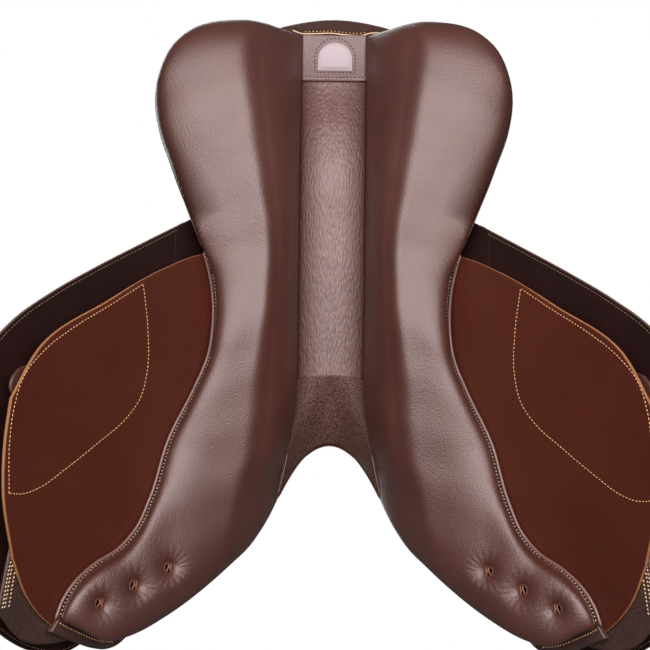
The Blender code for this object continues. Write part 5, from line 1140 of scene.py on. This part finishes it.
def blockPiece(node, name, side, body, front, rear, near, rim, crowns, place):
    # a padded block: flat back, crowned face (1 - |a|^3)^0.5 (1 - |b|^2.5)^0.5, higher towards its low end
    u, v = crowded(block["rows"], block["even"]), crowded(block["columns"], block["even"])
    plan = fourSided(front, rear, [front[0], rear[0]], [front[-1], rear[-1]], u, v)
    a, b = (2 * u - 1)[:, None], (2 * v - 1)[None, :]
    crown = np.sqrt(np.clip((1 - np.abs(a) ** 3) * (1 - np.abs(b) ** 2.5), 0, 1))
    far = near + rim * np.minimum(crown * block["edge"], 1.0) + crown * between(crowns, u[:, None])
    low, high = (place(plan[..., 0], plan[..., 1], offset) for offset in (near, far))
    piece = closedPair(name, low, high, "block", "block_leather", body, side)
    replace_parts(piece, node)
    ring = np.concatenate([plan[:, 0], plan[-1, 1:-1], plan[::-1, -1], plan[0, -2:0:-1]])
    path = place(ring[:, 0], ring[:, 1], near + rim * block["weltAt"])
    up = place(ring[:, 0], ring[:, 1], near + 0.01) - path
    tubeAlong(name + "_welt", path, up, block["weltRadius"], "darkWelt", "block_leather", body, side, 10, True)


blocks = {  # front and rear border, offset of the back, height of the rim, crown's height at either end
    "thigh_block": ([(0.060, 0.018), (0.095, 0.010), (0.130, 0.002)], [(0.062, 0.044), (0.095, 0.031), (0.125, 0.013)],
                    0.0063, 0.0020, (0.004, 0.006)),
    "knee_block": ([(0.075, -0.236), (0.120, -0.268), (0.170, -0.281), (0.212, -0.272), (0.240, -0.243)],
                   [(0.075, -0.196), (0.115, -0.205), (0.155, -0.205), (0.195, -0.196), (0.225, -0.182)],
                   0.0045, 0.0020, (0.004, 0.015)),
    "knee_pad": ([(0.030, -0.222), (0.080, -0.270), (0.125, -0.288), (0.165, -0.275)],
                 [(0.030, -0.168), (0.080, -0.190), (0.125, -0.212), (0.160, -0.235)],
                 0.00265, 0.0015, (0.004, 0.005)),
}
kneeRows = {
    "insets": (0.0035, 0.0062, 0.0105), "sink": 0.0001, "rows": slice(10, -10),
    "ends": [(0.240, -0.243), (0.2335, -0.2125), (0.225, -0.182)],
}
keeper = {
    "t": 0.155, "width": 0.022, "frontY": -0.130, "length": 0.080, "rise": 0.0085, "bow": (0.15, 0.75),
    "thick": 0.0025, "near": 0.00265, "rim": 0.0008,
}


def onKeeper(t, y, offset):
    # the outer flap's surface with the keeper's flat hump added
    along = np.clip((y - keeper["frontY"]) / keeper["length"], 0, 1)
    return onOuterFlap(t, y, offset + keeper["rise"] * ease(np.sin(along * math.pi), *keeper["bow"]))


for side, word in sides:
    body, flapBody = "skirt_flap_" + word, "outer_flap_" + word
    borders = (skirt["front"], skirt["rear"], skirt["top"], skirt["low"])
    piece = leatherSheet("skirt_leather_" + word, borders, "seat", "seat_leather", 0.0, skirt["thick"], side, body,
                         onSkirt, (70, 110), skirt["rim"])
    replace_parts(piece, "skirt_" + word)
    rounds = (skirt["front"], skirt["low"], skirt["rear"][::-1])
    edge = [insetBorder(line, skirt["inset"], skirt["centre"]) for line in rounds]
    edge = np.concatenate([edge[0][:-6], edge[1][6:-6], edge[2][6:]])
    path = onSkirt(edge[:, 0], edge[:, 1], skirt["thick"])
    up = onSkirt(edge[:, 0], edge[:, 1], skirt["thick"] + 0.01) - path
    stitchRow("skirt_stitches_" + word, path, up, skirt["stitch"], "darkThread", "seat_leather", body, side)
    for key in blocks:
        place, carrier = (onOuterFlap, flapBody) if key == "knee_pad" else (onFlap, "saddle")
        blockPiece(f"{key}_{word}", f"{key}_leather_{word}", side, carrier, *blocks[key], place)
    for number, inset in enumerate(kneeRows["insets"]):
        path, up = flapPath([(s - inset, y) for s, y in kneeRows["ends"]], blocks["knee_block"][2] - kneeRows["sink"])
        path, up = path[kneeRows["rows"]], up[kneeRows["rows"]]
        name = f"knee_block_stitches_{number}_{word}"
        stitchRow(name, path, -up, welt["stitch"], "cream", "block_leather", "saddle", side)
    t0, t1, y0, y1 = keeper["t"], keeper["t"] + keeper["width"], keeper["frontY"], keeper["frontY"] + keeper["length"]
    borders = ([(t0, y0), (t0, y1)], [(t1, y0), (t1, y1)], [(t0, y0), (t1, y0)], [(t0, y1), (t1, y1)])
    near = keeper["near"]
    piece = leatherSheet("leather_keeper_strap_" + word, borders, "strap", "strap_leather", near, near + keeper["thick"],
                         side, flapBody, onKeeper, (120, 16), keeper["rim"])
    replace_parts(piece, "leather_keeper_" + word)

strap = {
    "width": 0.025, "pitch": 0.034, "middleY": -0.028, "thick": 0.0034, "offset": 0.0062, "slant": 0.268,
    "rise": 0.0016, "riseS": (0.036, 0.090), "topS": -0.008, "length": 0.235, "tip": 0.010, "rim": 0.0010,
    "holes": 11, "holePitch": 0.0125, "holeEnd": 0.022, "holeSides": 14,
    "holeRings": [(0.0021, -0.0003), (0.0021, 0.00012), (0.0002, 0.00012)],  # radius and height over the leather
    "stitch": {"pitch": 0.0034, "length": 0.0026, "radius": 0.00022}, "inset": 0.003, "sink": 0.00026,
    "tipCut": 0.0015, "tipWidth": 0.45, "stitchFrom": 0.004,
}


def onStrap(s, y, offset):
    # a strap lies straight, slanted and a little raised over the sweat flap
    return onFlap(s, y - strap["slant"] * s, offset + strap["rise"] * ease(s, *strap["riseS"]))


for side, word in sides:
    ride = ("strap_leather", "girth_straps_" + word, side)
    for step, spot in ((-1, "front"), (0, "middle"), (1, "rear")):
        middle, half = strap["middleY"] + step * strap["pitch"], strap["width"] / 2
        s0, s1 = strap["topS"], strap["topS"] + strap["length"]
        tipS = s1 - strap["tip"]
        a, b, c, d = (s0, middle - half), (s0, middle + half), (tipS, middle - half), (tipS, middle + half)
        cut, narrow = s1 - strap["tipCut"], half * strap["tipWidth"]
        end = [c, (cut, middle - narrow), (s1, middle), (cut, middle + narrow), d]
        name = f"girth_strap_{spot}_{word}"
        near, far = strap["offset"], strap["offset"] + strap["thick"]
        piece = leatherSheet(name + "_leather", ([a, c], [b, d], [a, b], end), "strap", "strap_leather", near, far, side,
                             ride[1], onStrap, (120, 20), strap["rim"])
        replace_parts(piece, name)
        # each hole is a flat near-black disc, a little raised on the strap's face: painted shade standing for the
        # hole's depth
        spots = (s1 - strap["holeEnd"] - strap["holePitch"] * np.arange(strap["holes"]))[:, None]
        turns = turnsOf(strap["holeSides"])
        verts = []
        for r, lift in strap["holeRings"]:
            y = middle + r * np.sin(turns) + strap["slant"] * r * np.cos(turns)
            verts.append(onStrap(spots + r * np.cos(turns), y, far + lift))
        faces = repeatedFaces(len(verts), strap["holeSides"], strap["holes"])
        makeMesh(name + "_painted_holes", np.stack(verts, 1), faces, "holeShade", *ride)
        s = np.linspace(s0 + strap["stitchFrom"], tipS, 200)
        up = onStrap(s, middle, far + 0.01) - onStrap(s, middle, far)
        for edgeWord, sign in (("front", -1), ("rear", 1)):
            path = onStrap(s, middle + sign * (half - strap["inset"]), far - strap["sink"])
            stitchRow(f"{name}_stitches_{edgeWord}", path, up, strap["stitch"], "darkThread", *ride)
print("skirts, blocks, keepers and straps ready")

studio = {
    "ambient": 0.040, "white": 1.0, "mirrored": 0.10,
    "floorZ": -1.62, "floorHalf": 40, "floorTone": 0.50, "glow": 0.97, "glowShare": 0.80,
}
floorMesh = bpy.data.meshes.new("floor")
half = studio["floorHalf"]
corners = [(x * half, y * half, studio["floorZ"]) for x, y in ((-1, -1), (1, -1), (1, 1), (-1, 1))]
floorMesh.from_pydata(corners, [], [(0, 1, 2, 3)])
floor = bpy.data.objects.new("floor", floorMesh)
paleFloor = plain("pale floor", (studio["floorTone"],) * 3, 0.9, level=0.1)
tree = paleFloor.node_tree
glow = addNode(tree, "Emission", {"Color": (*(studio["glow"],) * 3, 1)}).outputs["Emission"]
seen = addNode(tree, "LightPath", {}).outputs["Is Camera Ray"]
# the rest of the floor's tone is lit, and so keeps the object's shadow
share = addNode(tree, "Math", {0: seen, 1: studio["glowShare"]}, operation="MULTIPLY").outputs["Value"]
lit = tree.nodes["Principled BSDF"].outputs["BSDF"]
both = addNode(tree, "MixShader", {"Fac": share, 1: lit, 2: glow}).outputs["Shader"]
feed(tree.nodes["Material Output"], {"Surface": both})
floorMesh.materials.append(paleFloor)
bpy.context.scene.collection.objects.link(floor)

world = bpy.data.worlds.new("studio")
bpy.context.scene.world = world
world.use_nodes = True
tree = world.node_tree
ambient = feed(tree.nodes["Background"], {"Color": (0.95, 0.97, 1.0, 1), "Strength": studio["ambient"]})
white = addNode(tree, "Background", {"Color": (1, 1, 1, 1), "Strength": studio["white"]})
path = addNode(tree, "LightPath", {}).outputs
# the camera sees white, reflections a share of it, and the rest only the dim ambient light
weight = {0: path["Is Glossy Ray"], 1: studio["mirrored"], 2: path["Is Transmission Ray"]}
weight = addNode(tree, "Math", weight, operation="MULTIPLY_ADD").outputs["Value"]
weight = {0: path["Is Camera Ray"], 1: 1.0, 2: weight}
weight = addNode(tree, "Math", weight, operation="MULTIPLY_ADD", use_clamp=True).outputs["Value"]
mix = addNode(tree, "MixShader", {"Fac": weight, 1: ambient.outputs["Background"], 2: white.outputs["Background"]})
feed(tree.nodes["World Output"], {"Surface": mix.outputs["Shader"]})


def softLight(name, place, target, size, power, colour=(1, 1, 1)):
    data = bpy.data.lights.new(name, "AREA")
    data.shape, data.size, data.size_y, data.energy, data.color = "RECTANGLE", *size, power, colour
    light = bpy.data.objects.new(name, data)
    light.location = place
    light.rotation_mode = "QUATERNION"
    light.rotation_quaternion = (Vector(target) - Vector(place)).to_track_quat("-Z", "Y")
    bpy.context.scene.collection.objects.link(light)


softLight("front box", (0.0, 0.52, -1.36), (0.0, 0.05, 0.0), (1.75, 1.40), 40, (1.0, 0.88, 0.875))
softLight("box left", (1.05, 0.2, -1.0), (0.08, 0.05, 0.0), (0.5, 0.5), 0.95)
softLight("box right", (-1.05, 0.2, -1.0), (-0.08, 0.05, 0.0), (0.5, 0.5), 0.95)
softLight("top", (0.5, 0.5, 2.2), (0.0, 0.0, 0.1), (2.2, 2.2), 72)

camera = bpy.data.objects.new("camera", bpy.data.cameras.new("camera"))
bpy.context.scene.collection.objects.link(camera)
camera.data.sensor_width, camera.data.lens = 36.0, view["lens"]
roll = view["roll"]
axes = ((-math.cos(roll), math.sin(roll), 0), (math.sin(roll), math.cos(roll), 0), (0, 0, -1))
camera.matrix_world = Matrix([(*(axis[i] for axis in axes), view["place"][i]) for i in range(3)] + [(0, 0, 0, 1)])
camera.data.clip_start, camera.data.clip_end = 0.05, 50
scene = bpy.context.scene
scene.camera = camera
scene.view_settings.view_transform = "Standard"
scene.view_settings.look = "None"
print("stage ready")
